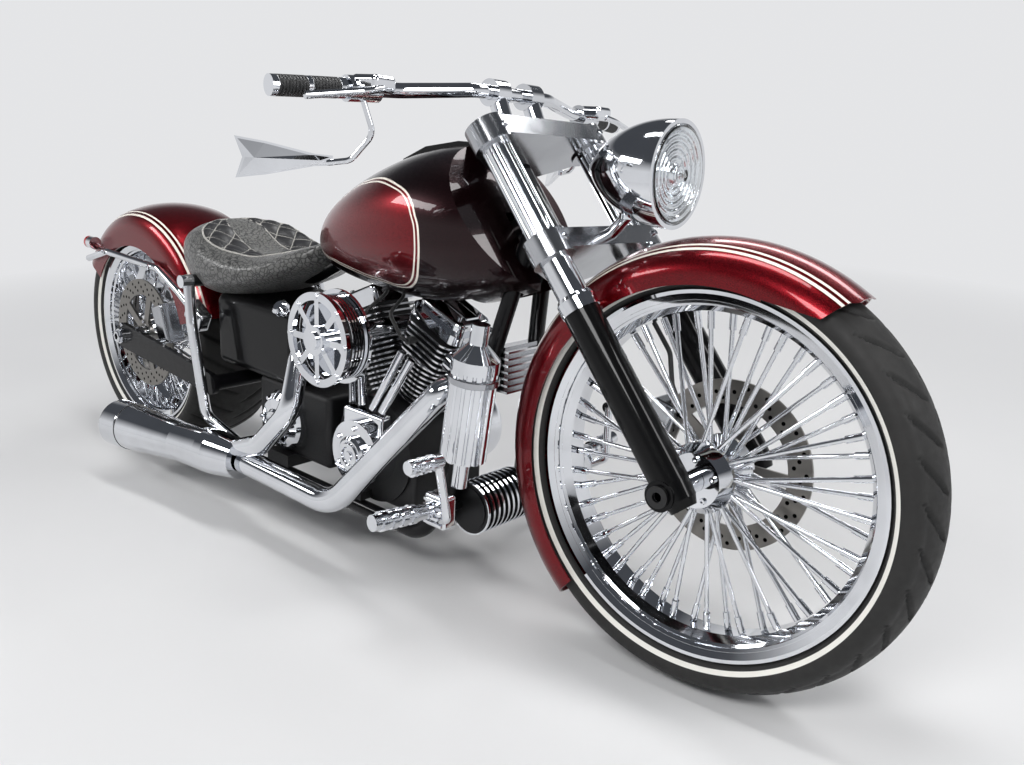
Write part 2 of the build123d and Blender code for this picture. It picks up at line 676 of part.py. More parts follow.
def rear_axle():
    reach = REAR_AXLE_REACH
    body = disc(AXLE_RADIUS, -reach, reach)
    outside = SWINGARM_INSIDE + SWINGARM_THICKNESS + FIT
    inside = SWINGARM_INSIDE - FIT
    body += disc(20.0, -reach, -outside) + disc(20.0, outside, reach)
    body += disc(19.0, -inside, -REAR_HUB_RIGHT - RUN) + disc(19.0, REAR_HUB_LEFT + RUN, inside)
    return across(REAR_AXLE) * (body - disc(AXLE_BORE, -reach, reach))


def crank_plane():
    return across(Vector(CRANK_X, 0, CRANK_Z))


def crankcase():
    body = crank_plane() * disc(CASE_RADIUS, -CASE_HALF, CASE_HALF)
    body += block((835, -CASE_HALF + 6, 124), (1078, CASE_HALF - 6, 245), 10.0)
    body += block((880, -136, RAIL_HEIGHT + RAIL_RADIUS + FIT), (950, 136, 146))
    body += crank_plane() * disc(78.0, CASE_HALF - 1, 161.7)
    return body


def cylinder_plane(side):
    """The plane at the crank centre whose Z runs up one cylinder, front (1) or rear (-1)."""
    lean = radians(V_HALF_ANGLE) * side
    return Plane(origin=(CRANK_X, 0, CRANK_Z), x_dir=(cos(lean), 0, -sin(lean)),
        z_dir=(sin(lean), 0, cos(lean)))


def cylinder(side):
    fins = 9
    pitch = (HEAD_START - BARREL_START - 8.0) / fins
    start = BARREL_START + 6.0
    body = disc(48.0, BARREL_START - 20.0, HEAD_START - FIT)
    for k in range(fins):
        low = start + 4.0 + pitch * k
        body += disc(CYLINDER_RADIUS, low, low + 4.0)
    body = cylinder_plane(side) * body
    body -= crank_plane() * disc(CASE_RADIUS + FIT, -CASE_HALF - 1, CASE_HALF + 1)
    far_half = Box(400, 400, 800, align=(Align.MAX if side > 0 else Align.MIN, Align.CENTER, Align.CENTER))
    return body - Pos(CRANK_X + side * RUN, 0, CRANK_Z) * far_half


def head(side):
    fins = 6
    length = ROCKER_START - HEAD_START
    pitch = length / fins
    body = Pos(0, 0, HEAD_START) * Box(96, 96, length - FIT, align=BOTTOM)
    for k in range(fins):
        fin = Box(2 * HEAD_FIN_HALF, HEAD_FIN_DEPTH, 4.0)
        fin = fillet(fin.edges().filter_by(Axis.Z), 26.0)
        body += Pos(0, 0, HEAD_START + 3.0 + pitch * k) * fin
    return cylinder_plane(side) * body


def rocker_box(side):
    """Rocker box in two tiers, the upper one narrower, with a raised rib along its top."""
    lower = Pos(0, 0, ROCKER_START) * Box(146, 118, 20.0, align=BOTTOM)
    lower = fillet(lower.edges().filter_by(Axis.Z), 22.0)
    upper = Pos(0, 0, ROCKER_START) * Box(126, 98, ROCKER_END - ROCKER_START - 4.0, align=BOTTOM)
    upper = fillet(upper.edges().filter_by(Axis.Z), 18.0)
    upper = fillet(upper.faces().sort_by(Axis.Z)[-1].edges(), 10.0)
    rib = Pos(0, 0, ROCKER_END - 12.0) * Box(96, 34, 12.0, align=BOTTOM)
    rib = fillet(rib.faces().sort_by(Axis.Z)[-1].edges(), 4.0)
    return cylinder_plane(side) * (lower + upper + rib)


def pushrod_tubes():
    tubes = []
    for side in (-1, 1):
        for spread in (16.0, 46.0):
            foot = Vector(CRANK_X + side * spread, -122, CRANK_Z + 95)
            top = cylinder_plane(side).from_local_coords((side * (spread - 40.0), -88, HEAD_START + 8.0))
            tubes.append(rod(foot, top, 9.5))
    return tubes


def cam_cover():
    outer = CASE_HALF + FIT
    body = crank_plane() * disc(72.0, -outer - 52.0, -outer)
    rings = [(0, 50), (0, 70), (9, 70), (11, 66), (18, 66), (20, 70), (27, 70), (29, 66), (34, 66),
        (40, 61), (40, 50)]
    body += crank_plane() * turned([(r, -outer - depth) for r, depth in rings])
    body += block((CRANK_X - 62, -outer - 34, CRANK_Z + 20), (CRANK_X + 62, -outer, CRANK_Z + 90), 8.0)
    return body


def gearbox_cover():
    """Domed cover on the gearbox's right end."""
    face = -GEARBOX_RIGHT - FIT
    profile = [(0, 0), (0, 40), (24, 40), (30, 34), (52, 30), (64, 20), (70, 12), (70, 0)]
    body = across(Vector(655, 0, 234)) * turned([(r, face - depth) for r, depth in profile])
    for k in range(6):
        body += across(Vector(655, 0, 234)) * Rot(0, 0, 60.0 * k) * Pos(56.0, 0,
            face - 24.0) * Cylinder(4.5, 18.0)
    return body


def primary_cover():
    outline = make_hull((Circle(86.0) + Pos(-290, -25) * Circle(104.0)).edges())
    body = extrude(Pos(0, 0, 162) * outline, 54.0)
    body = fillet(body.faces().sort_by(Axis.Z)[-1].edges(), 22.0)
    body += Pos(-290, -25, 0) * disc(62.0, 215, 224)
    return crank_plane() * body


def gearbox():
    body = block((545, -GEARBOX_RIGHT, 150), (812, 118, GEARBOX_TOP), 14.0)
    body += block((610, -136, RAIL_HEIGHT + RAIL_RADIUS + FIT), (690, 136, 156))
    return body + rod((665, 100, 265), (665, 125, 265), 34.0)


def belt():
    """The final drive belt as one closed loop round both pulleys, with its drive pulley inside."""
    low = BELT_INSIDE
    outer = make_hull((Circle(PULLEY_RADIUS + FIT + BELT_THICKNESS)
        + Pos(665, REAR_RADIUS - 265) * Circle(DRIVE_PULLEY_RADIUS + FIT + BELT_THICKNESS)).edges())
    inner = make_hull((Circle(PULLEY_RADIUS + FIT)
        + Pos(665, REAR_RADIUS - 265) * Circle(DRIVE_PULLEY_RADIUS + FIT)).edges())
    return across(REAR_AXLE) * extrude(Pos(0, 0, low) * (outer - inner), BELT_WIDTH)


def drive_pulley():
    return across(Vector(665, 0, 265)) * disc(DRIVE_PULLEY_RADIUS, 125.3, BELT_INSIDE + BELT_WIDTH + 1)


def rear_pulley():
    near = REAR_HUB_LEFT + FIT
    far = BELT_INSIDE + BELT_WIDTH + 1
    body = disc(PULLEY_RADIUS, near, far, 92.0) + disc(46.0, near, far, 22.0)
    for k in range(6):
        body += Rot(0, 0, 60 * k) * Pos(40, 0, near + 2) * Box(60, 20, 18, align=OUTWARD)
    return across(REAR_AXLE) * body


def air_cleaner():
    """Round air cleaner: finned filter drum between a back plate and a spider of arms, on its intake."""
    back = -194.0
    front = -254.0
    body = disc(94.0, back - 6.0, back) + disc(72.0, -238.0, back)
    for k in range(5):
        low = -232.0 + 7.2 * k
        body += disc(85.0, low, low + 3.2)
    body += disc(93.0, front, front + 9.0, 77.0)
    body += disc(30.0, front - 8.0, -236.0) + disc(18.0, front - 13.0, front)
    arms = 8
    for k in range(arms):
        arm = Pos(20.0, 0, front + 1.0) * Box(62.0, 13.0, 18.0, align=OUTWARD)
        screw = Pos(85.0, 0, front - 3.0) * Cylinder(5.0, 6.0, align=BOTTOM)
        body += Rot(0, 0, 360.0 / arms * k) * (arm + screw)
    body = across(Vector(CRANK_X + 4, 0, 498)) * body
    body += rod((CRANK_X, 12, 502), (CRANK_X, back - 3.0, 500), 19.0)
    for side in (-1, 1):
        port = cylinder_plane(side).from_local_coords((-side * (HEAD_FIN_HALF + FIT), 0, HEAD_START + 20.0))
        inward = cylinder_plane(side).from_local_coords((-side * (HEAD_FIN_HALF + 33.0), 0, HEAD_START
            + 20.0))
        body += rod(port, inward, 15.0)
    return body


def plug_leads():
    """A boot and a lead from each head's right face up under the tank."""
    pieces = []
    for side in (-1, 1):
        root = cylinder_plane(side).from_local_coords((-side * 20.0, -HEAD_FIN_DEPTH / 2 - FIT, HEAD_START
            + 38.0))
        root = Vector(*root)
        out = root + Vector(0, -30, 0)
        route = [root, out, (CRANK_X + side * 32, -94, 536), (CRANK_X + side * 26, -50, 566),
                 (CRANK_X + side * 26, -50, ENGINE_ROOM_TOP - FIT)]
        pieces.append(tube(route, [14, 22, 14], 3.8) + rod(root, root + Vector(0, -20, 0), 8.0))
    return pieces


FRONT_PIPE_ROUTE = [(1117.6, -40, 456.2), (1180, -44, 430), (1200, -132, 440), (952, -212, 142),
    (636, -216, 148)]
FRONT_PIPE_BENDS = [34, 36, 95]
FRONT_PIPE_RADIUS = 26.0
REAR_PIPE_ROUTE = [(792.4, -40, 456.2), (748, -44, 438), (765, -150, 425), (790, -200, 300),
    (700, -214, 205), (612, -217, 172)]
REAR_PIPE_BENDS = [30, 50, 60, 60]
REAR_PIPE_RADIUS = 24.0


def front_pipe():
    return tube(FRONT_PIPE_ROUTE, FRONT_PIPE_BENDS, FRONT_PIPE_RADIUS,
        FRONT_PIPE_RADIUS - 3.0) - muffler_outside()


def rear_pipe():
    body = tube(REAR_PIPE_ROUTE, REAR_PIPE_BENDS, REAR_PIPE_RADIUS,
        REAR_PIPE_RADIUS - 3.0) - muffler_outside()
    body -= tube(FRONT_PIPE_ROUTE, FRONT_PIPE_BENDS, FRONT_PIPE_RADIUS + FIT)
    return body.solids().sort_by(SortBy.VOLUME)[-1]


MUFFLER_START = Vector(628, -217, 150)
MUFFLER_END = Vector(120, -252, 118)
MUFFLER_LINE = MUFFLER_END - MUFFLER_START
MUFFLER_PLANE = Plane(origin=MUFFLER_START, z_dir=MUFFLER_LINE)
MUFFLER_OUTLINE = [(44, 0), (52, 90), (52, 120), (48, MUFFLER_LINE.length * 0.45),
    (58, MUFFLER_LINE.length - 70),
                   (60, MUFFLER_LINE.length - 64), (60, MUFFLER_LINE.length)]


def muffler_outside():
    """The muffler as a closed solid, for cutting what meets it."""
    return MUFFLER_PLANE * turned(MUFFLER_OUTLINE + [(0, MUFFLER_LINE.length), (0, 0)])


def muffler():
    length = MUFFLER_LINE.length
    outer = MUFFLER_OUTLINE
    inner = [(54, length), (54, length - 60), (40, length - 80), (40, 6)]
    profile = outer + inner + [(0, 6), (0, 0)]
    return MUFFLER_PLANE * turned(profile)


def canister():
    start = Vector(1283, -172, 330)
    end = Vector(1304, -168, 520)
    line = end - start
    ribs = 16
    section = Circle(43.0)
    for k in range(ribs):
        section -= Rot(0, 0, 360.0 / ribs * k) * Pos(44.0, 0) * Circle(4.0)
    length = line.length
    body = extrude(section, length) + disc(44.0, length - 22, length)
    body += Pos(0, 0, length) * Cone(43.0, 18.0, 26.0, align=BOTTOM) + disc(17.0, length + 20, length + 62)
    body += disc(15.0, -58.0, 2.0)
    body = Plane(origin=start, z_dir=line) * body
    body += rod((1225, -95, 395), (1270, -150, 400), 9.0)
    return body - tube(DOWNTUBE_MIRROR, [90, 60], RAIL_RADIUS + FIT)


def regulator():
    centre = Vector(1222, -20, 185)
    body = disc(44.0, -68, 68)
    for k in range(10):
        body += disc(54.0, -66 + 14 * k, -66 + 14 * k + 5)
    body = across(centre) * body + rod((1196, -120, 185), (1196, 120, 185), 9.0)
    for route in (DOWNTUBE_ROUTE, DOWNTUBE_MIRROR):
        body -= tube(route, [90, 60], RAIL_RADIUS + FIT)
    return body.solids().sort_by(SortBy.VOLUME)[-1]


def oil_cooler():
    """Finned block carried between the downtubes."""
    body = block((1240, -46, 424), (1262, 46, 512))
    for k in range(7):
        body += block((1234, -56, 426 + 13 * k), (1280, 56, 430 + 13 * k))
    for route in (DOWNTUBE_ROUTE, DOWNTUBE_MIRROR):
        body -= tube(route, [90, 60], RAIL_RADIUS + FIT)
    return body.solids().sort_by(SortBy.VOLUME)[-1]


def forward_control(side):
    body = block((1236, 190, 198), (1290, 222, 262), 7.0)
    body += rod((1160, 128, 150), (1255, 200, 226), 12.0)
    body += rod((1256, 220, 232), (1244, 352, 240), 15.0)
    peg = Vector(1244, 352, 240) - Vector(1256, 220, 232)
    for share in (0.32, 0.48, 0.64, 0.8):
        start = Vector(1256, 220, 232) + peg * share
        body += rod(start, start + peg.normalized() * 11.0, 18.5)
    for k in range(5):
        body += block((1240, 220, 205 + 11 * k), (1286, 226, 210 + 11 * k))
    arm = tube([(1275, 216, 214), (1312, 236, 236), (1300, 250, 345)], 14, 8.0)
    body += arm + rod((1300, 244, 345), (1296, 318, 348), 12.5)
    for start in (262, 282, 302):
        body += rod((1300 - (start - 244) * 0.054, start, 345.6),
            (1300 - (start - 235) * 0.054, start + 9, 346.2), 15.5)
    body -= tube(DOWNTUBE_ROUTE, [90, 60], RAIL_RADIUS + FIT)
    if side < 0:
        body = mirror(body, about=Plane.XZ)
    return body


def tail_lamps():
    lamp = rod((-178, 148, 540), (-212, 148, 540), 17.0)
    lamp += rod((-186, REAR_FENDER_HALF + FIT, 526), (-186, 150, 526), 5.0)
    return mirrored(lamp)


STAND_PIVOT = Vector(1085, 174, 104)
STAND_FOOT = Vector(1138, 306, 24)
STAND_AXIS = Vector(0, sin(radians(45)), cos(radians(45)))
STAND_PIN = 6.0
STAND_EYE_HALF = 8.0


def stand_mount():
    """Lug on the lower rail with the pin that the side stand turns on."""
    low = STAND_PIVOT - STAND_AXIS * (STAND_EYE_HALF + 7.0)
    seat = STAND_PIVOT - STAND_AXIS * (STAND_EYE_HALF + RUN)
    top = STAND_PIVOT + STAND_AXIS * (STAND_EYE_HALF + RUN)
    body = rod(low, seat, 15.0) + rod(low, top + STAND_AXIS * 4.0, STAND_PIN) + rod(top, top
        + STAND_AXIS * 4.0, 11.0)
    body += rod((STAND_PIVOT.X, FRAME_HALF, RAIL_HEIGHT - 6),
        STAND_PIVOT - STAND_AXIS * (STAND_EYE_HALF + 4.5), 3.2)
    body += rod((STAND_PIVOT.X - 8, FRAME_HALF, RAIL_HEIGHT - 6), low + Vector(-8, 0, 0) + STAND_AXIS * 3.2,
        3.2)
    return body - lower_rail() - downtube()


def side_stand(park):
    """Leg in the bike's frame and a foot that lies flat on the floor."""
    knee = STAND_PIVOT + Vector(14, 46, -34)
    leg = tube([STAND_PIVOT, knee, STAND_FOOT], 60, 10.0)
    eye = rod(STAND_PIVOT - STAND_AXIS * STAND_EYE_HALF, STAND_PIVOT + STAND_AXIS * STAND_EYE_HALF, 15.0)
    room = rod(STAND_PIVOT - STAND_AXIS * 60.0, STAND_PIVOT - STAND_AXIS * STAND_EYE_HALF, 40.0)
    room += rod(STAND_PIVOT + STAND_AXIS * STAND_EYE_HALF, STAND_PIVOT + STAND_AXIS * 60.0, 14.0)
    bore = rod(STAND_PIVOT - STAND_AXIS * 60.0, STAND_PIVOT + STAND_AXIS * 60.0, STAND_PIN + 0.1)
    upright = park * (leg + eye - room - bore)
    spot = (park * Pos(*STAND_FOOT)).position
    body = upright + Pos(spot.X, spot.Y, 0) * Cylinder(30.0, 9.0, align=BOTTOM)
    return body - Pos(spot.X, spot.Y, -50) * Cylinder(80.0, 50.0, align=BOTTOM)


# Parked attitude: lean, a small pitch so that both tyres touch, and the height of the floor

def lowest(location, axle, radius, drop, half):
    """Height of the lowest point of a crowned tyre."""
    crown = (half * half + drop * drop) / (2 * drop)
    middle = location * Pos(*axle)
    sideways = (location * Pos(axle.X, axle.Y + 1.0, axle.Z)).position - middle.position
    return middle.position.Z - (radius - crown) * sqrt(1 - sideways.Z ** 2) - crown


def parked():
    turn = FORK_PLANE.location * Rot(0, 0, REST_STEER) * FORK_PLANE.location.inverse()
    park = Rot(-LEAN, 0, 0)
    for _ in range(3):
        front = lowest(park * turn, FRONT_AXLE, FRONT_RADIUS, FRONT_SHOULDER_DROP, FRONT_SHOULDER_HALF)
        rear = lowest(park, REAR_AXLE, REAR_RADIUS, REAR_SHOULDER_DROP, REAR_SHOULDER_HALF)
        park = Rot(0, degrees((front - rear) / WHEELBASE), 0) * park
    rear = lowest(park, REAR_AXLE, REAR_RADIUS, REAR_SHOULDER_DROP, REAR_SHOULDER_HALF)
    return Pos(0, 0, -rear) * park, turn


PARK, TURN = parked()
STEERED = PARK * TURN
ACROSS_FRONT = across(FRONT_AXLE)
ACROSS_REAR = across(REAR_AXLE)

rear_tyre_sizes = (REAR_RADIUS, REAR_WIDTH, REAR_BEAD, REAR_LIP, REAR_RIM_WIDTH, REAR_SHOULDER_DROP,
    REAR_SHOULDER_HALF)
front_tyre_sizes = (FRONT_RADIUS, FRONT_WIDTH, FRONT_BEAD, FRONT_LIP, FRONT_RIM_WIDTH, FRONT_SHOULDER_DROP,
    FRONT_SHOULDER_HALF)

CHASSIS = {
    "backbone": [backbone()],
    "downtubes": mirrored(downtube()),
    "lower_rails": mirrored(lower_rail()),
    "rear_uprights": mirrored(rear_upright()),
    "stand_mount": [stand_mount()],
    "swingarm": [swingarm()],
    "rear_axle": [rear_axle()],
    "fuel_tank": [fuel_tank()],
    "tank_console": [console()],
    "seat": [seat()],
    "rear_fender": [rear_fender()],
    "fender_struts": mirrored(fender_strut()),
    "oil_tank": [oil_tank()],
    "oil_cap": [oil_cap()],
    "crankcase": [crankcase()],
    "cylinders": [cylinder(1), cylinder(-1)],
    "heads": [head(1), head(-1)],
    "rocker_boxes": [rocker_box(1), rocker_box(-1)],
    "pushrod_tubes": pushrod_tubes(),
    "cam_cover": [cam_cover(), gearbox_cover()],
    "primary_cover": [primary_cover()],
    "gearbox": [gearbox()],
    "drive_pulley": [drive_pulley()],
    "drive_belt": [belt()],
    "air_cleaner": [air_cleaner()],
    "plug_leads": plug_leads(),
    "front_pipe": [front_pipe()],
    "rear_pipe": [rear_pipe()],
    "muffler": [muffler()],
    "chrome_canister": [canister()],
    "regulator": [regulator()],
    "oil_cooler": [oil_cooler()],
    "foot_controls": [forward_control(-1), forward_control(1)],
    "tail_lamps": tail_lamps(),
    "rear_caliper": [rear_caliper()],
}
STEERING = {
    "lower_tree": [tree(LOWER_TREE), FORK_PLANE * disc(STEM_RADIUS, LOWER_TREE - 20.0, TOP_TREE + 20.0)],
    "top_tree": [tree(TOP_TREE, blind=True)],
    "fork_tubes": mirrored(fork_tube()) + mirrored(fork_collar()),
    "fork_legs": mirrored(fork_leg()),
    "front_axle": [front_axle()],
    "front_caliper": [front_caliper()],
    "front_fender": [front_fender()],
    "brake_hose": [brake_hose()],
    "headlamp_shell": [headlamp_shell(), headlamp_bracket()],
    "headlamp_lens": [headlamp_lens()],
    "handlebar": [handlebar()],
    "risers": risers(),
    "grips": [grip(-1), grip(1)],
    "hand_controls": [control(-1), control(1)],
    "mirrors": [mirror_piece(-1), mirror_piece(1)],
}
FRONT_WHEEL = {
    "front_tyre": [ACROSS_FRONT * tyre(*front_tyre_sizes)],
    "front_rim": [ACROSS_FRONT * rim(FRONT_BEAD, FRONT_LIP, FRONT_RIM_WIDTH)],
    "front_spokes": [ACROSS_FRONT * spoked_hub(FRONT_BEAD - 19.0, FRONT_FLANGE_RADIUS, FRONT_FLANGE_HALF,
        FRONT_HUB_HALF, FRONT_HUB_HALF)],
    "front_rotor": [ACROSS_FRONT * rotor(FRONT_ROTOR_RADIUS, 42.0, 24.0, FRONT_HUB_HALF + FIT)],
}
REAR_WHEEL = {
    "rear_tyre": [ACROSS_REAR * tyre(*rear_tyre_sizes)],
    "rear_rim": [ACROSS_REAR * rim(REAR_BEAD, REAR_LIP, REAR_RIM_WIDTH)],
    "rear_spokes": [ACROSS_REAR * spoked_hub(REAR_BEAD - 19.0, REAR_FLANGE_RADIUS, REAR_FLANGE_HALF,
        REAR_HUB_RIGHT, REAR_HUB_LEFT)],
    "rear_rotor": [ACROSS_REAR * rotor(REAR_ROTOR_RADIUS, 42.0, 24.0, REAR_ROTOR_FACE)],
    "rear_pulley": [rear_pulley()],
}
SIDE_STAND = {"side_stand": [side_stand(PARK)]}

placed = {}
for group, where in ((CHASSIS, PARK), (STEERING, STEERED), (FRONT_WHEEL, STEERED), (REAR_WHEEL, PARK)):
    for name, solids in group.items():
        placed[name] = [solid for piece in solids for solid in (where * piece).solids()]
for name, solids in SIDE_STAND.items():
    placed[name] = [solid for piece in solids for solid in piece.solids()]

outermost = ("front_tyre", "rear_tyre", "rear_fender", "grips", "handlebar", "hand_controls", "mirrors",
    "risers")
box = Compound(children=[solid for name in outermost for solid in placed[name]]).bounding_box()
CENTRED = Pos(-(box.min.X + box.max.X) / 2, -(box.min.Y + box.max.Y) / 2, -box.min.Z)

os.makedirs("parts", exist_ok=True)
for name, solids in placed.items():
    export_step(Compound(children=[CENTRED * solid for solid in solids]), f"parts/{name}.step")


def report_axis(name, where, spot, direction):
    """Print a joint's or mount's place in metres and its direction."""
    start = (CENTRED * where * Pos(*spot)).position
    end = (CENTRED * where * Pos(*(Vector(*spot) + direction))).position
    line = (end - start).normalized()
    print(name, [round(v / 1000, 6) for v in start], [round(v, 6) for v in line])


report_axis("steering", STEERED, STEERING_FOOT, UP_FORK)
report_axis("front_wheel", STEERED, FRONT_AXLE, Vector(0, 1, 0))
report_axis("rear_wheel", PARK, REAR_AXLE, Vector(0, 1, 0))
report_axis("side_stand", PARK, STAND_PIVOT, STAND_AXIS)
report_axis("front_axle_end", STEERED, FRONT_AXLE + Vector(0, -FRONT_AXLE_REACH, 0), Vector(0, 1, 0))
report_axis("rear_axle_end", PARK, REAR_AXLE + Vector(0, -REAR_AXLE_REACH, 0), Vector(0, 1, 0))
print("box", [round(v, 2) for v in box.size])
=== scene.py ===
"""Looks of the chopper motorcycle: paint, chrome, leather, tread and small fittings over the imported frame.

Places are given in the upright bike's millimetres (X forward, Y left, Z up, ground under the rear axle)
and carried into the frame by two matrices: BIKE for the chassis, FORK for all that turns with the fork."""
import json
from math import acos, atan2, cos, hypot, pi, radians, sin, sqrt
import bpy
from mathutils import Matrix, Vector

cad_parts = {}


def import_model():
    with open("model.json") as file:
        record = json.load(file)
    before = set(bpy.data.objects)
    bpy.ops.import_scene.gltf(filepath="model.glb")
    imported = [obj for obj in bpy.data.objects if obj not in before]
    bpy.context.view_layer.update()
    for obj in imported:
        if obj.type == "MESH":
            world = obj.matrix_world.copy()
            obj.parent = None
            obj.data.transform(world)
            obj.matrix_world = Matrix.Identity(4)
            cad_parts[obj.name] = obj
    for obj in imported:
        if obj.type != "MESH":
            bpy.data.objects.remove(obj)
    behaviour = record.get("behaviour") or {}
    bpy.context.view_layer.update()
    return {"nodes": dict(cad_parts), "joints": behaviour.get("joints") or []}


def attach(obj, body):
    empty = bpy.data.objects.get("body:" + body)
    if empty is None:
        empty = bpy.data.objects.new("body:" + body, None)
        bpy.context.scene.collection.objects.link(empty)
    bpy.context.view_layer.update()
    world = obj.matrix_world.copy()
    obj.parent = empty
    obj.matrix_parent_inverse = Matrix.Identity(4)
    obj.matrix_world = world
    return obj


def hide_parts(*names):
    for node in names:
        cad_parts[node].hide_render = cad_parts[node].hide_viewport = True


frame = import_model()

# Places

MILLIMETRE = 0.001
RAKE = radians(39.4)
FRONT_AXLE = Vector((1690, 0, 374))
REAR_AXLE = Vector((0, 0, 316))
CRANK = Vector((955, 0, 240))
AXLE_AHEAD = 70.0               # front axle ahead of the steering axis
V_HALF_ANGLE = radians(22.5)
LAMP_CENTRE = Vector((1565, 0, 852))
MUFFLER_START = Vector((628, -217, 150))
MUFFLER_END = Vector((120, -252, 118))
MUFFLER_SEAM = 442.0            # along the muffler from its start
CANISTER_FOOT = Vector((1283, -172, 330))
CANISTER_HEAD = Vector((1304, -168, 520))
CANISTER_BAND = 146.0           # along the canister from its foot
FILTER_CENTRE = Vector((959, 0, 498))
REGULATOR_CENTRE = Vector((1222, 0, 185))
JOINTS = {joint["name"]: joint for joint in frame["joints"]}


def placing(joint, centre):
    """Matrix from the upright bike's millimetres to the frame's metres, found from a wheel's axle."""
    left = Vector(JOINTS[joint]["axis"])
    steer = Vector(JOINTS["steering"]["axis"])
    ahead = left.cross(steer)
    x = cos(RAKE) * ahead - sin(RAKE) * steer
    z = sin(RAKE) * ahead + cos(RAKE) * steer
    turn = Matrix((x, left, z)).transposed().to_4x4()
    shrink = Matrix.Scale(MILLIMETRE, 4)
    return Matrix.Translation(JOINTS[joint]["pos_m"]) @ turn @ shrink @ Matrix.Translation(-centre)


BIKE = placing("rear_wheel_spin", REAR_AXLE)
FORK = placing("front_wheel_spin", FRONT_AXLE)


def along(start, direction):
    """A plane at start whose Z runs along direction."""
    turn = Vector(direction).to_track_quat("Z", "Y").to_matrix().to_4x4()
    return Matrix.Translation(Vector(start)) @ turn


def across(centre):
    """A plane at centre whose Z runs to the rider's left."""
    return Matrix(((1, 0, 0, centre[0]), (0, 0, 1, centre[1]), (0, -1, 0, centre[2]), (0, 0, 0, 1)))


# Meshes

def mesh_object(name, verts, faces, material, body, smooth=True):
    """A new mesh that rides on a body of the frame."""
    mesh = bpy.data.meshes.new(name)
    mesh.from_pydata(verts, [], faces)
    mesh.materials.append(material)
    mesh.polygons.foreach_set("use_smooth", [smooth] * len(mesh.polygons))
    mesh.update()
    piece = bpy.data.objects.new(name, mesh)
    bpy.context.scene.collection.objects.link(piece)
    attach(piece, body)
    return piece


def grid_faces(rows, columns, wrap_rows=False):
    """Quads between rings of points, and between the last ring and the first if it wraps."""
    faces = []
    for r in range(rows if wrap_rows else rows - 1):
        for c in range(columns):
            r2 = (r + 1) % rows
            c2 = (c + 1) % columns
            faces.append((r * columns + c, r * columns + c2, r2 * columns + c2, r2 * columns + c))
    return faces


def lathe_data(profile, place, steps=48, closed=False):
    """Vertices and faces of a piece turned about the Z of place from (radius, height) points."""
    verts = []
    for radius, height in profile:
        for k in range(steps):
            turn = 2 * pi * k / steps
            verts.append(place @ Vector((radius * cos(turn), radius * sin(turn), height)))
    return verts, grid_faces(len(profile), steps, wrap_rows=closed)


def fork_point(ahead, left, up):
    """A point of the steered pieces, given along and across the steering axis."""
    foot = FRONT_AXLE - Vector((cos(RAKE), 0, sin(RAKE))) * AXLE_AHEAD
    return foot + Vector((ahead * cos(RAKE) - up * sin(RAKE), left, ahead * sin(RAKE) + up * cos(RAKE)))


def tube_data(points, radius, steps=8, closed=False):
    """Vertices and faces of a round cord through points."""
    verts = []
    count = len(points)
    for i, point in enumerate(points):
        after = points[(i + 1) % count] if closed or i < count - 1 else point
        before = points[i - 1] if closed or i > 0 else point
        place = along(point, after - before)
        for k in range(steps):
            turn = 2 * pi * k / steps
            verts.append(place @ Vector((radius * cos(turn), radius * sin(turn), 0)))
    faces = grid_faces(count, steps, wrap_rows=closed)
    if not closed:
        faces += [tuple(range(steps - 1, -1, -1)), tuple((count - 1) * steps + k for k in range(steps))]
    return verts, faces


def joined(parts):
    """Several (vertices, faces) lists as one."""
    verts = []
    faces = []
    for some_verts, some_faces in parts:
        start = len(verts)
        verts += some_verts
        faces += [tuple(start + i for i in face) for face in some_faces]
    return verts, faces


def arc_points(a, via, b, count):
    """Points on the circle through three (x, y) points, from a to b."""
    (ax, ay), (bx, by), (cx, cy) = a, via, b
    d = 2 * (ax * (by - cy) + bx * (cy - ay) + cx * (ay - by))
    aa, bb, cc = ax * ax + ay * ay, bx * bx + by * by, cx * cx + cy * cy
    ux = (aa * (by - cy) + bb * (cy - ay) + cc * (ay - by)) / d
    uy = (aa * (cx - bx) + bb * (ax - cx) + cc * (bx - ax)) / d
    start = atan2(ay - uy, ax - ux)
    middle = (atan2(by - uy, bx - ux) - start) % (2 * pi)
    sweep = (atan2(cy - uy, cx - ux) - start) % (2 * pi)
    if middle > sweep:
        sweep -= 2 * pi
    radius = hypot(ax - ux, ay - uy)
    return [(ux + radius * cos(start + sweep * k / count), uy + radius * sin(start + sweep * k / count))
            for k in range(count + 1)]


def smooth_between(rows, t):
    """Values on a smooth curve through rows of numbers, t from 0 to 1."""
    spot = t * (len(rows) - 1)
    i = min(int(spot), len(rows) - 2)
    u = spot - i
    p0, p1, p2, p3 = rows[max(i - 1, 0)], rows[i], rows[i + 1], rows[min(i + 2, len(rows) - 1)]
    return [
        0.5 * (2 * b + (c - a) * u + (2 * a - 5 * b + 4 * c - d) * u * u + (3 * b - a - 3 * c + d) * u ** 3)
        for a, b, c, d in zip(p0, p1, p2, p3)
    ]


# Materials

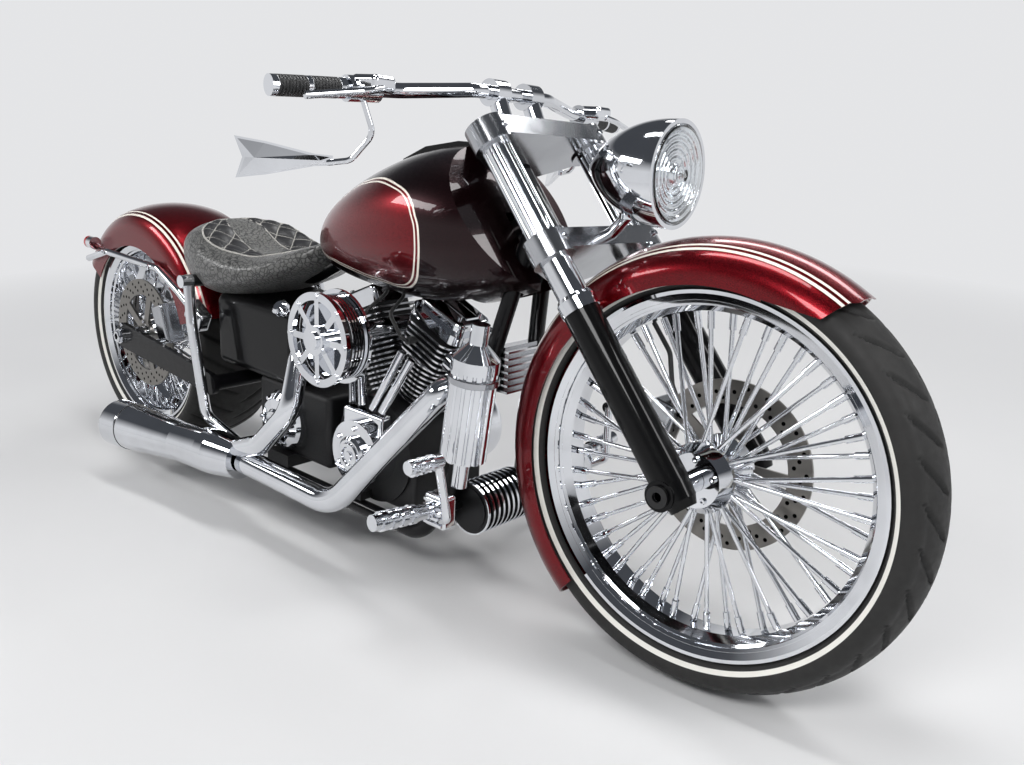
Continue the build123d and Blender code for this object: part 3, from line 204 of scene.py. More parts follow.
class Shade:
    """A material, built up in steps from the nodes of its shader."""

    def __init__(self, name, **values):
        self.material = bpy.data.materials.new(name)
        self.material.use_nodes = True
        self.nodes = self.material.node_tree.nodes
        self.links = self.material.node_tree.links
        self.surface = self.nodes["Principled BSDF"]
        for socket, value in values.items():
            self.surface.inputs[socket.replace("_", " ")].default_value = value
        self.coords = self.nodes.new("ShaderNodeTexCoord").outputs["Object"]

    def feed(self, socket, value):
        """Link a node's output to a socket, or set a plain value on it."""
        if isinstance(value, bpy.types.NodeSocket):
            self.links.new(value, socket)
        else:
            socket.default_value = value

    def set(self, socket, value):
        self.feed(self.surface.inputs[socket], value)

    def math(self, operation, *values):
        node = self.nodes.new("ShaderNodeMath")
        node.operation = operation
        for i, value in enumerate(values):
            self.feed(node.inputs[i], value)
        return node.outputs[0]

    def noise(self, scale, detail=3.0, roughness=0.5):
        node = self.nodes.new("ShaderNodeTexNoise")
        self.feed(node.inputs["Vector"], self.coords)
        node.inputs["Scale"].default_value = scale
        node.inputs["Detail"].default_value = detail
        node.inputs["Roughness"].default_value = roughness
        return node.outputs["Fac"]

    def cells(self, scale, feature="F1", output="Distance"):
        node = self.nodes.new("ShaderNodeTexVoronoi")
        node.feature = feature
        self.feed(node.inputs["Vector"], self.coords)
        node.inputs["Scale"].default_value = scale
        return node.outputs[output]

    def ramp(self, value, low, high, out_low=0.0, out_high=1.0):
        """Value from low..high carried to out_low..out_high and held at the ends."""
        node = self.nodes.new("ShaderNodeMapRange")
        self.feed(node.inputs["Value"], value)
        ends = {"From Min": low, "From Max": high, "To Min": out_low, "To Max": out_high}
        for socket, number in ends.items():
            node.inputs[socket].default_value = number
        return node.outputs[0]

    def mix(self, factor, a, b):
        node = self.nodes.new("ShaderNodeMix")
        node.data_type = "RGBA"
        self.feed(node.inputs[0], factor)
        self.feed(node.inputs[6], a)
        self.feed(node.inputs[7], b)
        return node.outputs[2]

    def bump(self, height, distance, strength=1.0):
        node = self.nodes.new("ShaderNodeBump")
        node.inputs["Distance"].default_value = distance
        node.inputs["Strength"].default_value = strength
        self.feed(node.inputs["Height"], height)
        self.feed(self.surface.inputs["Normal"], node.outputs["Normal"])

    def local(self, place):
        """The point's x, y and z, in millimetres, in the frame that place carries into the scene."""
        back = place.inverted()
        found = []
        for row in range(3):
            dot = self.nodes.new("ShaderNodeVectorMath")
            dot.operation = "DOT_PRODUCT"
            self.feed(dot.inputs[0], self.coords)
            dot.inputs[1].default_value = back[row][:3]
            found.append(self.math("ADD", dot.outputs["Value"], back[row][3]))
        return found

    def length(self, a, b):
        return self.math("SQRT", self.math("ADD", self.math("MULTIPLY", a, a), self.math("MULTIPLY", b, b)))

    def rotated(self, a, b, angle):
        """Both coordinates of the point (a, b) turned by an angle."""
        c = cos(angle)
        s = sin(angle)
        first = self.math("SUBTRACT", self.math("MULTIPLY", a, c), self.math("MULTIPLY", b, s))
        second = self.math("ADD", self.math("MULTIPLY", a, s), self.math("MULTIPLY", b, c))
        return first, second

    def beyond(self, value, limit):
        """How far value lies past limit on either side of 0."""
        return self.math("MAXIMUM", self.math("SUBTRACT", self.math("ABSOLUTE", value), limit), 0.0)

    def band(self, value, middle, half, soft=0.3):
        """1 where value lies within half of middle, 0 outside, with a soft edge."""
        away = self.math("ABSOLUTE", self.math("SUBTRACT", value, middle))
        return self.ramp(away, half - soft, half + soft, 1.0, 0.0)

    def above(self, value, limit, soft=0.4):
        """1 where value lies over limit, 0 under it, with a soft edge."""
        return self.ramp(value, limit - soft, limit + soft)

    def either(self, *masks):
        """The largest of several masks."""
        found = masks[0]
        for mask in masks[1:]:
            found = self.math("MAXIMUM", found, mask)
        return found


def rgb(code):
    """A screen colour as the linear values that the shader takes."""
    values = [int(code[i:i + 2], 16) / 255 for i in (0, 2, 4)]
    return tuple(v / 12.92 if v <= 0.04045 else ((v + 0.055) / 1.055) ** 2.4 for v in values) + (1.0,)


def metal(name, colour, rough, spread=0.03, scale=9.0, grain=0.0):
    """Bare or plated metal with faint changes in its polish."""
    shade = Shade(name, Metallic=1.0)
    wear_and_groove_shade = shade.noise(scale, 4.0)
    pale = rgb(colour)
    dull = tuple(c * 0.86 for c in pale[:3]) + (1.0,)
    shade.set("Base Color", shade.mix(shade.ramp(wear_and_groove_shade, 0.35, 0.7), pale, dull))
    shade.set("Roughness", shade.ramp(wear_and_groove_shade, 0.3, 0.7, rough, rough + spread))
    if grain:
        shade.bump(shade.noise(420.0, 6.0), grain)
    return shade.material


def lacquer(name, colour, dark, rough=0.35):
    """Gloss paint under clear coat."""
    shade = Shade(name, Specular_IOR_Level=0.05, Coat_Weight=0.7, Coat_IOR=1.3, Coat_Roughness=0.02)
    cloud = shade.noise(6.0, 2.0)
    shade.set("Base Color", shade.mix(cloud, rgb(colour), rgb(dark)))
    shade.set("Roughness", shade.ramp(shade.noise(60.0), 0.3, 0.7, rough, rough + 0.08))
    return shade.material


CREAM = rgb("f4ece0")
CANDY = rgb("66000b")
CANDY_DEEP = rgb("330006")
CANDY_SPARK = rgb("8c0012")
CHERRY = rgb("1c0105")
LINE_HALF = 2.3                 # half widths of the outer pinstripe and of the thin one inside it
FENDER_THIN_HALF = 2.0
TANK_THIN_HALF = 1.9
LINE_STEP = 9.5


def candy(shade, inside, lines):
    """Flake paint: candy red inside a mask, black cherry outside it, cream pinstripes on top."""
    flake = shade.cells(2400.0, output="Color")
    grey = shade.nodes.new("ShaderNodeRGBToBW")
    shade.feed(grey.inputs[0], flake)
    spark = shade.ramp(grey.outputs[0], 0.3, 0.9)
    cloud = shade.mix(shade.noise(5.0, 2.0), CANDY, CANDY_DEEP)
    red = shade.mix(spark, cloud, CANDY_SPARK)
    paint = shade.mix(inside, CHERRY, red)
    shade.set("Base Color", shade.mix(lines, paint, CREAM))
    shade.set("Metallic", shade.ramp(lines, 0.0, 1.0, 0.85, 0.0))
    shade.set("Roughness", shade.ramp(spark, 0.0, 1.0, 0.24, 0.36))
    for socket, value in (("Coat Weight", 0.8), ("Coat IOR", 1.33), ("Coat Roughness", 0.015)):
        shade.surface.inputs[socket].default_value = value
    return shade.material


def fender_paint(name, place, stripe):
    """Candy red with a pair of cream lines along each shoulder, so far from the centre plane."""
    shade = Shade(name)
    _, side, _ = shade.local(place)
    offset = shade.math("ABSOLUTE", side)
    outer = shade.band(offset, stripe, LINE_HALF)
    lines = shade.either(outer, shade.band(offset, stripe - LINE_STEP, FENDER_THIN_HALF))
    return candy(shade, 1.0, lines)


TANK_AXIS_HEIGHT = 722.0
TANK_TAIL = 1150.0              # behind this x the tank's axis falls towards its tail
TANK_FALL = 0.0004
TANK_GIRTH = 150.0              # mm of surface for each radian about the tank's axis
LOOP_CENTRE = (930.0, 0.0)      # middle of the striped loop, along the bike and round the tank
LOOP_REACH = [                  # share of a turn round the loop's middle from its rear, reach in mm
    (0.000, 218), (0.030, 195), (0.068, 165), (0.109, 131), (0.197, 110), (0.250, 114), (0.306, 126),
    (0.358, 163), (0.391, 185), (0.446, 205), (0.492, 210), (0.524, 197), (0.652, 120), (0.750, 113),
    (0.800, 127), (0.878, 144), (0.933, 175), (0.972, 198), (1.000, 218),
]
LOOP_LARGEST = 300.0


def loop_depth(shade):
    """How deep a point of the tank lies inside the striped loop, in mm, below 0 outside it."""
    x, y, z = shade.local(BIKE)
    behind = shade.math("MAXIMUM", shade.math("SUBTRACT", TANK_TAIL, x), 0.0)
    fall = shade.math("MULTIPLY", shade.math("MULTIPLY", behind, behind), TANK_FALL)
    above_axis = shade.math("ADD", shade.math("SUBTRACT", z, TANK_AXIS_HEIGHT), fall)
    rise = shade.math("ARCTAN2", above_axis, shade.math("ABSOLUTE", y))
    along_loop = shade.math("SUBTRACT", x, LOOP_CENTRE[0])
    round_loop = shade.math("SUBTRACT", shade.math("MULTIPLY", rise, TANK_GIRTH), LOOP_CENTRE[1])
    turn = shade.math("ARCTAN2", round_loop, along_loop)
    share = shade.math("ADD", shade.math("DIVIDE", turn, 2 * pi), 0.5)
    curve = shade.nodes.new("ShaderNodeFloatCurve")
    points = curve.mapping.curves[0].points
    while len(points) < len(LOOP_REACH):
        points.new(0.5, 0.5)
    for point, (spot, reach) in zip(points, LOOP_REACH):
        point.location = (spot, reach / LOOP_LARGEST)
    curve.mapping.update()
    shade.feed(curve.inputs["Value"], share)
    reach = shade.math("MULTIPLY", curve.outputs[0], LOOP_LARGEST)
    return shade.math("SUBTRACT", reach, shade.length(along_loop, round_loop))


def tank_paint():
    """Candy red inside a teardrop loop of cream lines on each side, black cherry outside it."""
    shade = Shade("tank_candy")
    depth = loop_depth(shade)
    lines = shade.either(shade.band(depth, 0.0, LINE_HALF), shade.band(depth, LINE_STEP, TANK_THIN_HALF))
    return candy(shade, shade.above(depth, 0.0), lines)


PLATE = rgb("e4e6ea")
JET = rgb("0a0a0b")
CAST = rgb("1a1a1c")
BARREL_EDGE = 61.5              # fins of a barrel are bright beyond this radius
HEAD_BASE = 222.0               # along a cylinder, where its head begins
HEAD_CORE = (41.0, 43.0)        # half sizes of a head's straight middle, along and across the bike
HEAD_EDGE = 24.6                # fins of a head are bright so far beyond it


def fin_metal(name):
    """Satin black castings whose fin edges are machined bright, on the barrels and heads."""
    shade = Shade(name)
    x, y, z = shade.local(BIKE @ Matrix.Translation(CRANK))
    off, up = shade.rotated(shade.math("ABSOLUTE", x), z, V_HALF_ANGLE)
    below = shade.ramp(up, HEAD_BASE - 0.5, HEAD_BASE, 1.0, 0.0)
    barrel = shade.math("MULTIPLY", shade.above(shade.length(off, y), BARREL_EDGE), below)
    corner = shade.length(shade.beyond(off, HEAD_CORE[0]), shade.beyond(y, HEAD_CORE[1]))
    head = shade.math("MULTIPLY", shade.above(corner, HEAD_EDGE), shade.above(up, HEAD_BASE))
    bright = shade.either(barrel, head)
    shade.set("Base Color", shade.mix(bright, CAST, rgb("d2d3d6")))
    shade.set("Metallic", shade.ramp(bright, 0.0, 1.0, 0.3, 1.0))
    shade.set("Roughness", shade.ramp(bright, 0.0, 1.0, 0.48, 0.16))
    shade.bump(shade.noise(900.0, 2.0), 0.0003, 0.4)
    return shade.material


def two_metals(shade, mask, outside, inside, metallic=(1.0, 0.0), rough=(0.035, 0.3)):
    """One finish outside a mask and another inside it."""
    wear_and_groove_shade = shade.noise(9.0, 4.0)
    dull = tuple(c * 0.86 for c in outside[:3]) + (1.0,)
    shade.set("Base Color", shade.mix(mask, shade.mix(shade.ramp(wear_and_groove_shade, 0.35, 0.7), outside, dull), inside))
    shade.set("Metallic", shade.ramp(mask, 0.0, 1.0, *metallic))
    shade.set("Roughness", shade.ramp(mask, 0.0, 1.0, *rough))
    return shade.material


DRUM_MIDDLE = -216.5            # the air cleaner's finned drum, across the bike
DRUM_HALF = 17.0
DRUM_EDGE = 84.0
AXLE_SHOWN = 171.0              # the front axle's ends are black beyond this
TUBE_END = 178.0                # the rear cross tube's ends are chrome beyond this
REGULATOR_EDGE = 51.5
TAIL_LENS = -202.0              # the tail lamps are red behind this
GRIP_START = 361.0
GRIP_MIDDLE = 414.0
GRIP_END = 467.0
GRIP_RIB = 5.5


def filter_metal():
    """Chrome air cleaner whose finned drum is black with bright fin edges."""
    shade = Shade("air_cleaner_chrome")
    x, y, z = shade.local(BIKE @ Matrix.Translation(FILTER_CENTRE))
    within = shade.ramp(shade.length(x, z), DRUM_EDGE - 0.4, DRUM_EDGE, 1.0, 0.0)
    drum = shade.math("MULTIPLY", shade.band(y, DRUM_MIDDLE, DRUM_HALF), within)
    return two_metals(shade, drum, PLATE, rgb("151517"), metallic=(1.0, 0.3), rough=(0.04, 0.45))


def axle_metal():
    """Chrome front axle with black ends in the black legs."""
    shade = Shade("axle_chrome")
    _, y, _ = shade.local(FORK)
    return two_metals(shade, shade.above(shade.math("ABSOLUTE", y), AXLE_SHOWN), PLATE, JET)


def frame_metal():
    """Gloss black frame whose rear cross tube has chrome ends."""
    shade = Shade("backbone_black", Specular_IOR_Level=0.2, Coat_Weight=1.0, Coat_Roughness=0.03)
    _, y, _ = shade.local(BIKE)
    ends = shade.above(shade.math("ABSOLUTE", y), TUBE_END)
    return two_metals(shade, ends, JET, PLATE, metallic=(0.0, 1.0), rough=(0.3, 0.04))


def muffler_metal():
    """Chrome silencer with a dark seam before its end piece."""
    shade = Shade("muffler_chrome")
    _, _, reach = shade.local(BIKE @ along(MUFFLER_START, MUFFLER_END - MUFFLER_START))
    return two_metals(shade, shade.band(reach, MUFFLER_SEAM, 1.6), PLATE, JET)


def regulator_metal():
    """Dark finned barrel with bright fin edges."""
    shade = Shade("regulator_metal")
    x, _, z = shade.local(BIKE @ Matrix.Translation(REGULATOR_CENTRE))
    edge = shade.above(shade.length(x, z), REGULATOR_EDGE)
    return two_metals(shade, edge, CAST, PLATE, metallic=(0.6, 1.0), rough=(0.3, 0.08))


def lamp_metal():
    """Chrome tail lamps with a red lens at the back."""
    shade = Shade("tail_lamp_chrome", Coat_Weight=1.0)
    x, _, _ = shade.local(BIKE)
    lens = shade.ramp(x, TAIL_LENS, TAIL_LENS + 1.0, 1.0, 0.0)
    return two_metals(shade, lens, PLATE, rgb("a0040a"), rough=(0.04, 0.12))


def grip_rubber():
    """Ribbed black rubber between chrome collars."""
    shade = Shade("grip_rubber")
    _, y, _ = shade.local(FORK)
    reach = shade.math("ABSOLUTE", y)
    inner = shade.ramp(reach, GRIP_START, GRIP_START + 1.0, 1.0, 0.0)
    collar = shade.either(inner, shade.band(reach, GRIP_MIDDLE, 4.0), shade.above(reach, GRIP_END))
    ribs = shade.math("SINE", shade.math("MULTIPLY", reach, 2 * pi / GRIP_RIB))
    shade.bump(shade.math("MULTIPLY", ribs, shade.math("SUBTRACT", 1.0, collar)), 0.0012)
    return two_metals(shade, collar, rgb("141415"), PLATE, metallic=(0.0, 1.0), rough=(0.5, 0.05))


def reflector_metal():
    """Bright lamp dish with fine turned rings."""
    shade = Shade("lamp_dish", Metallic=1.0)
    _, y, z = shade.local(FORK @ Matrix.Translation(LAMP_CENTRE))
    radius = shade.length(y, z)
    shade.set("Base Color", shade.mix(shade.noise(12.0), PLATE, rgb("f4f5f7")))
    shade.set("Roughness", shade.ramp(shade.noise(30.0), 0.3, 0.7, 0.05, 0.1))
    shade.bump(shade.math("SINE", shade.math("MULTIPLY", radius, 0.55)), 0.0015)
    return shade.material


def wrinkle_black(name):
    """Wrinkle-finish black on castings."""
    shade = Shade(name, Metallic=0.2)
    crease = shade.noise(520.0, 2.0)
    shade.set("Base Color", shade.mix(crease, rgb("0d0d0e"), rgb("1b1b1d")))
    shade.set("Roughness", shade.ramp(crease, 0.3, 0.7, 0.42, 0.62))
    shade.bump(crease, 0.0005, 0.7)
    return shade.material


GROOVE = "groove"               # how deep the tread is cut at each point of a tyre, 0 to 1


def tyre_rubber(name, place, centre, ring):
    """Rubber with a thin white ring on both sidewalls, ring = (inner, outer) radius."""
    shade = Shade(name, Specular_IOR_Level=0.35)
    x, _, z = shade.local(place @ Matrix.Translation(centre))
    radius = shade.length(x, z)
    inner, outer = ring
    white = shade.band(radius, (inner + outer) / 2, (outer - inner) / 2, 0.25)
    dusty = shade.mix(shade.noise(30.0, 5.0), rgb("1e1e1e"), rgb("2b2a29"))
    cut = shade.nodes.new("ShaderNodeAttribute")
    cut.attribute_name = GROOVE
    # Near black where the tread is cut deep: painted shade in the grooves; the dusty tone outside them is
    # the rubber's own.
    wear_and_groove_shade = shade.mix(cut.outputs["Fac"], dusty, rgb("060606"))
    shade.set("Base Color", shade.mix(white, wear_and_groove_shade, rgb("e6e4dd")))
    shade.set("Roughness", shade.ramp(shade.noise(80.0, 4.0), 0.3, 0.7, 0.52, 0.68))
    shade.bump(shade.noise(600.0, 3.0), 0.0003, 0.5)
    return shade.material


DISC_RING = 42.0                # width of a brake disc's braking ring
DISC_HOLES = 24                 # holes in each row
DISC_ROWS = [                   # share of the ring's width, start in steps
    (0.25, 0.0),
    (0.5, 0.33),
    (0.75, 0.66),
]
HOLE_RADIUS = 3.4


def drilled_steel(name, place, centre, radius):
    """Brushed brake disc with rows of holes painted on its braking ring as near-black spots of painted
    shade.
    """
    shade = Shade(name, Metallic=1.0)
    x, _, z = shade.local(place @ Matrix.Translation(centre))
    reach = shade.length(x, z)
    turn = shade.math("ARCTAN2", z, x)
    hole_shades = []
    for share, start in DISC_ROWS:
        middle = radius - DISC_RING * share
        spot = shade.math("ADD", shade.math("MULTIPLY", turn, DISC_HOLES / (2 * pi)), DISC_HOLES + start)
        step = shade.math("SUBTRACT", shade.math("FRACT", spot), 0.5)
        sideways = shade.math("MULTIPLY", step, 2 * pi * middle / DISC_HOLES)
        away = shade.length(sideways, shade.math("SUBTRACT", reach, middle))
        hole_shades.append(shade.ramp(away, HOLE_RADIUS, HOLE_RADIUS + 0.5, 1.0, 0.0))
    # Each hole is painted, not cut: a near-black spot of painted shade on the solid disc.
    hole_shade = shade.either(*hole_shades)
    rings = shade.nodes.new("ShaderNodeTexNoise")
    rings.noise_dimensions = "1D"
    shade.feed(rings.inputs["W"], reach)
    rings.inputs["Scale"].default_value = 1.2
    brushed = shade.mix(rings.outputs["Fac"], rgb("6e6b67"), rgb("8f8c87"))
    shade.set("Base Color", shade.mix(hole_shade, brushed, rgb("050505")))
    shade.set("Roughness", shade.ramp(hole_shade, 0.0, 1.0, 0.28, 0.9))
    return shade.material


def leather(name, colour, fold, scale, depth, coat):
    """Dark embossed leather: pebbles of one size with a darker fold between them."""
    shade = Shade(name, Coat_Weight=coat, Coat_Roughness=0.25, Sheen_Weight=0.15)
    edge = shade.cells(scale, feature="DISTANCE_TO_EDGE")
    pebble = shade.ramp(edge, 0.02, 0.16)
    shade.set("Base Color", shade.mix(pebble, rgb(fold), rgb(colour)))
    shade.set("Roughness", shade.ramp(shade.noise(45.0, 4.0), 0.3, 0.7, 0.34, 0.5))
    shade.bump(pebble, depth, 0.9)
    return shade.material


def clear_glass(name, tint):
    """Clear glass with a faint tint and waves."""
    shade = Shade(name, Transmission_Weight=1.0, IOR=1.45, Roughness=0.02)
    ribs = shade.noise(14.0, 1.0)
    shade.set("Base Color", shade.mix(ribs, rgb(tint), rgb("ffffff")))
    shade.bump(shade.noise(220.0, 0.0), 0.0004, 0.25)
    return shade.material


CHROME = metal("chrome", "e4e6ea", 0.035)
SATIN = metal("polished_alloy", "b6b8bc", 0.14, 0.07, 14.0)
BLACK = lacquer("black_gloss", "0a0a0b", "050506", rough=0.3)
FRAME_BLACK = lacquer("frame_black", "101012", "08080a", rough=0.38)
FINS = fin_metal("black_fins")
LENS_CLEAR = clear_glass("clear_lens", "f4f8fa")
BELT = leather("belt_rubber", "1a1a1b", "0e0e0f", 260.0, 0.0004, 0.0)

FINISHES = {
    "fuel_tank": tank_paint(),
    "front_fender": fender_paint("front_fender_candy", FORK, 58.0),
    "rear_fender": fender_paint("rear_fender_candy", BIKE, 113.0),
    "front_rotor": drilled_steel("front_disc", FORK, FRONT_AXLE, 150.0),
    "rear_rotor": drilled_steel("rear_disc", BIKE, REAR_AXLE, 146.0),
    "cylinders": FINS,
    "heads": FINS,
    "oil_cooler": FINS,
    "muffler": muffler_metal(),
    "regulator": regulator_metal(),
    "drive_belt": BELT,
    "headlamp_lens": LENS_CLEAR,
    "tail_lamps": lamp_metal(),
    "grips": grip_rubber(),
    "air_cleaner": filter_metal(),
    "brake_hose": BELT,
    "plug_leads": BELT,
    "oil_tank": BLACK,
    "fork_legs": BLACK,
    "front_axle": axle_metal(),
    "crankcase": wrinkle_black("case_black"),
    "gearbox": wrinkle_black("gearbox_black"),
    "backbone": frame_metal(),
    "downtubes": FRAME_BLACK,
    "lower_rails": FRAME_BLACK,
    "swingarm": FRAME_BLACK,
    "stand_mount": FRAME_BLACK,
    "side_stand": CHROME,
    "top_tree": SATIN,
    "lower_tree": SATIN,
    "rear_pulley": SATIN,
    "front_caliper": SATIN,
    "rear_caliper": SATIN,
    "tank_console": BLACK,
}
for name, node in frame["nodes"].items():
    node.data.materials.clear()
    node.data.materials.append(FINISHES.get(name, CHROME))


# Tyres with their tread

TREAD_DEPTH = 6.0
GROOVE_START = 0.1              # the grooves run between these shares of the tread's half width
GROOVE_END = 1.22
GROOVE_LEAN = 0.75              # in steps from groove to groove
GROOVE_WIDTH = 0.1
TYRES = [  # name, node, body, place, centre, sizes, grooves round it, radii of the white ring
    ("front_tread", "front_tyre", "front_wheel", FORK, FRONT_AXLE,
     (374, 130, 309, 89, 15, 46), 34, (318.0, 325.5)),
    ("rear_tread", "rear_tyre", "rear_wheel", BIKE, REAR_AXLE,
     (316, 240, 243, 203, 16, 98), 30, (252.0, 259.0)),
]                               # sizes: radius, width, lip, rim's width, shoulder's drop and half width


def tyre_profile(radius, width, lip, rim_width, drop, half, points):
    """One side of the section from bead to crown, as (radius, across) points."""
    widest = (lip + radius) / 2 - 4.0
    shoulder = radius - drop
    side = arc_points((lip + 2.0, rim_width / 2 - 0.3), (widest, width / 2), (shoulder, half), points)
    crown = arc_points((shoulder, half), (radius, 0), (shoulder, -half), 2 * points)
    return side + crown[1:points + 1]


def groove_depth(turn, across_share, repeats):
    """How deep the tread is cut, 0 to 1, for slanting sickle grooves."""
    if not GROOVE_START < across_share < GROOVE_END:
        return 0.0
    phase = (turn * repeats / (2 * pi) + GROOVE_LEAN * across_share ** 1.4) % 1.0
    taper = min(1.0, (across_share - GROOVE_START) * 4, (GROOVE_END - across_share) * 5)
    width = GROOVE_WIDTH * taper
    away = abs(phase - 0.5)
    return sqrt(1.0 - away / width) if away < width else 0.0


def tyre(name, node, body, place, centre, sizes, repeats, ring):
    """A tyre from bead to bead with its tread cut in, in place of the frame's plain one."""
    radius, width, lip, rim_width, drop, half = sizes
    points = 15
    one_side = tyre_profile(radius, width, lip, rim_width, drop, half, points)
    section = one_side + [(r, -y) for r, y in reversed(one_side[:-1])]
    section += [(lip - 12.0, -rim_width / 2 + 1.0), (lip - 12.0, rim_width / 2 - 1.0)]
    steps = repeats * 22
    wheel = place @ across(centre)
    verts = []
    cuts = []
    for r, y in section:
        share = abs(y) / half
        on_tread = r > radius - drop - 9.0
        for k in range(steps):
            turn = 2 * pi * k / steps
            cut = groove_depth(turn if y > 0 else turn + pi / repeats, share, repeats) if on_tread else 0.0
            reach = r - TREAD_DEPTH * cut
            cuts.append(cut)
            verts.append(wheel @ Vector((reach * cos(turn), reach * sin(turn), y)))
    rubber = tyre_rubber(name + "_rubber", place, centre, ring)
    piece = mesh_object(name, verts, grid_faces(len(section), steps, wrap_rows=True), rubber, body)
    piece.data.attributes.new(GROOVE, "FLOAT", "POINT").data.foreach_set("value", cuts)
    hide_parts(node)
    return piece


for row in TYRES:
    tyre(*row)


# Seat

SEAT_SECTIONS = [  # x, half width, top, widest, bottom
    (256, 70, 622, 592, 560),
    (266, 128, 642, 590, 545),
    (330, 163, 654, 566, 480),
    (430, 172, 620, 552, 478),
    (550, 150, 602, 558, 516),
    (660, 98, 630, 596, 566),
    (697, 58, 642, 618, 594),
    (704, 12, 634, 620, 606),
]
SIDE_POWER = 0.82               # below 1 the cushion's section is squarer than an oval, across
TOP_POWER = 0.86                # and up
QUILT_STEP = 44.0               # from one line of stitching to the next
QUILT_DIAGONAL = QUILT_STEP * sqrt(2)
PILLOW_HEIGHT = 7.0             # of the quilt's padding over its seams
PILLOW_SLOPE = 8.0              # it rises over this distance from the piping
SEAM_DEPTH = 2.0
STRIP_HEIGHT = 2.5              # the same for the strip down the middle
STRIP_SLOPE = 6.0
STRIP_DEPTH = 1.5
PIPING_RADIUS = 2.6
PANEL_START = 276.0             # the piped panel, along the bike
PANEL_END = 640.0
PANEL_HALF = 136.0
MIDDLE_HALF = 46.0
BOWL = (418.0, 135.0, 122.0, 33.0)  # middle, half length, half width and depth of the hollow
FENDER_ROOM = 346.6             # about the rear axle, kept free for the fender over this half width
FENDER_HALF = 131.0


def seat_point(t, turn):
    """A point of the bare cushion: t along it, turn round it."""
    x, half, top, widest, low = smooth_between(SEAT_SECTIONS, t)
    c = cos(turn)
    s = sin(turn)
    y = half * abs(c) ** SIDE_POWER * (1 if c >= 0 else -1)
    z = widest + (top - widest if s >= 0 else low - widest) * abs(s) ** TOP_POWER
    if s > 0:
        middle, length, width, depth = BOWL
        z -= depth * max(0.0, 1 - ((x - middle) / length) ** 2) * max(0.0, 1 - (y / width) ** 2)
    reach = hypot(x, z - REAR_AXLE.z)
    if reach < FENDER_ROOM and abs(y) < FENDER_HALF:
        grow = FENDER_ROOM / reach
        x, z = x * grow, REAR_AXLE.z + (z - REAR_AXLE.z) * grow
    return Vector((x, y, z))


def panel_half(x):
    """Half width of the piped panel at x."""
    share = (x - PANEL_START) / (PANEL_END - PANEL_START)
    if not 0.0 < share < 1.0:
        return 0.0
    if share < 0.3:
        return PANEL_HALF * sqrt(1 - ((0.3 - share) / 0.3) ** 2)
    return PANEL_HALF * (1 - ((share - 0.3) / 0.7) ** 2.4)


def middle_half(x):
    """Half width of the scaled strip down the middle of the panel."""
    return MIDDLE_HALF * min(1.0, panel_half(x) / PANEL_HALF + 0.1)


def quilted(spot, turn):
    """How far the padding stands out at a spot, and which leather it has: side, quilt or middle."""
    inset = panel_half(spot.x) - abs(spot.y)
    if sin(turn) < 0.2 or inset < 0.0:
        return 0.0, 0
    into_strip = middle_half(spot.x) - abs(spot.y)
    if into_strip > 0.0:
        return STRIP_HEIGHT * min(1.0, into_strip / STRIP_SLOPE) - STRIP_DEPTH, 2
    a = (spot.x + spot.y) / QUILT_DIAGONAL
    b = (spot.x - spot.y) / QUILT_DIAGONAL
    pillow = sqrt(abs(sin(pi * a) * sin(pi * b))) * min(1.0, inset / PILLOW_SLOPE)
    return PILLOW_HEIGHT * pillow - SEAM_DEPTH, 1


def seat_top(x, y):
    """The point of the bare cushion's upper side at x and y."""
    low, high = 0.0, 1.0
    for _ in range(30):
        t = (low + high) / 2
        low, high = (t, high) if smooth_between(SEAT_SECTIONS, t)[0] < x else (low, t)
    half = smooth_between(SEAT_SECTIONS, t)[1]
    turn = acos(min(1.0, abs(y) / half) ** (1 / SIDE_POWER))
    return seat_point(t, turn if y >= 0 else pi - turn)


def piping():
    """Cord round the panel and along both sides of its middle strip."""
    count = 60
    span = PANEL_END - PANEL_START - 2.0
    xs = [PANEL_START + 1.0 + span * (1 - cos(pi * k / count)) / 2 for k in range(count + 1)]
    loop = [seat_top(x, panel_half(x)) for x in xs]
    loop += [seat_top(x, -panel_half(x)) for x in reversed(xs)]
    cords = [tube_data(loop, PIPING_RADIUS, closed=True)]
    for side in (-1, 1):
        strip = [seat_top(x, side * middle_half(x)) for x in xs if panel_half(x) > middle_half(x) + 4.0]
        cords.append(tube_data(strip, PIPING_RADIUS * 0.7))
    return joined(cords)


def seat():
    """The padded cover with its piping, in place of the frame's bare cushion."""
    rows = 220
    columns = 200
    verts = []
    marks = []
    for r in range(rows):
        t = r / (rows - 1)
        for c in range(columns):
            turn = 2 * pi * c / columns
            spot = seat_point(t, turn)
            lift, leather_index = quilted(spot, turn)
            verts.append(spot + Vector((0, 0, lift)))
            marks.append(leather_index)
    faces = grid_faces(rows, columns)
    faces.append(tuple(range(columns - 1, -1, -1)))
    faces.append(tuple((rows - 1) * columns + c for c in range(columns)))
    verts, faces = joined([(verts, faces), piping()])
    marks += [3] * (len(verts) - len(marks))
    piece = mesh_object("seat_cover", [BIKE @ v for v in verts], faces, SEAT_SIDE, "chassis")
    for material in (SEAT_QUILT, SEAT_MIDDLE, SEAT_PIPING):
        piece.data.materials.append(material)
    for polygon in piece.data.polygons:
        polygon.material_index = min(marks[i] for i in polygon.vertices)
    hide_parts("seat")
    return piece


STITCH_HALF = 0.027             # half width of a line of stitching, in steps of the quilt
STITCH_SOFT = 0.007


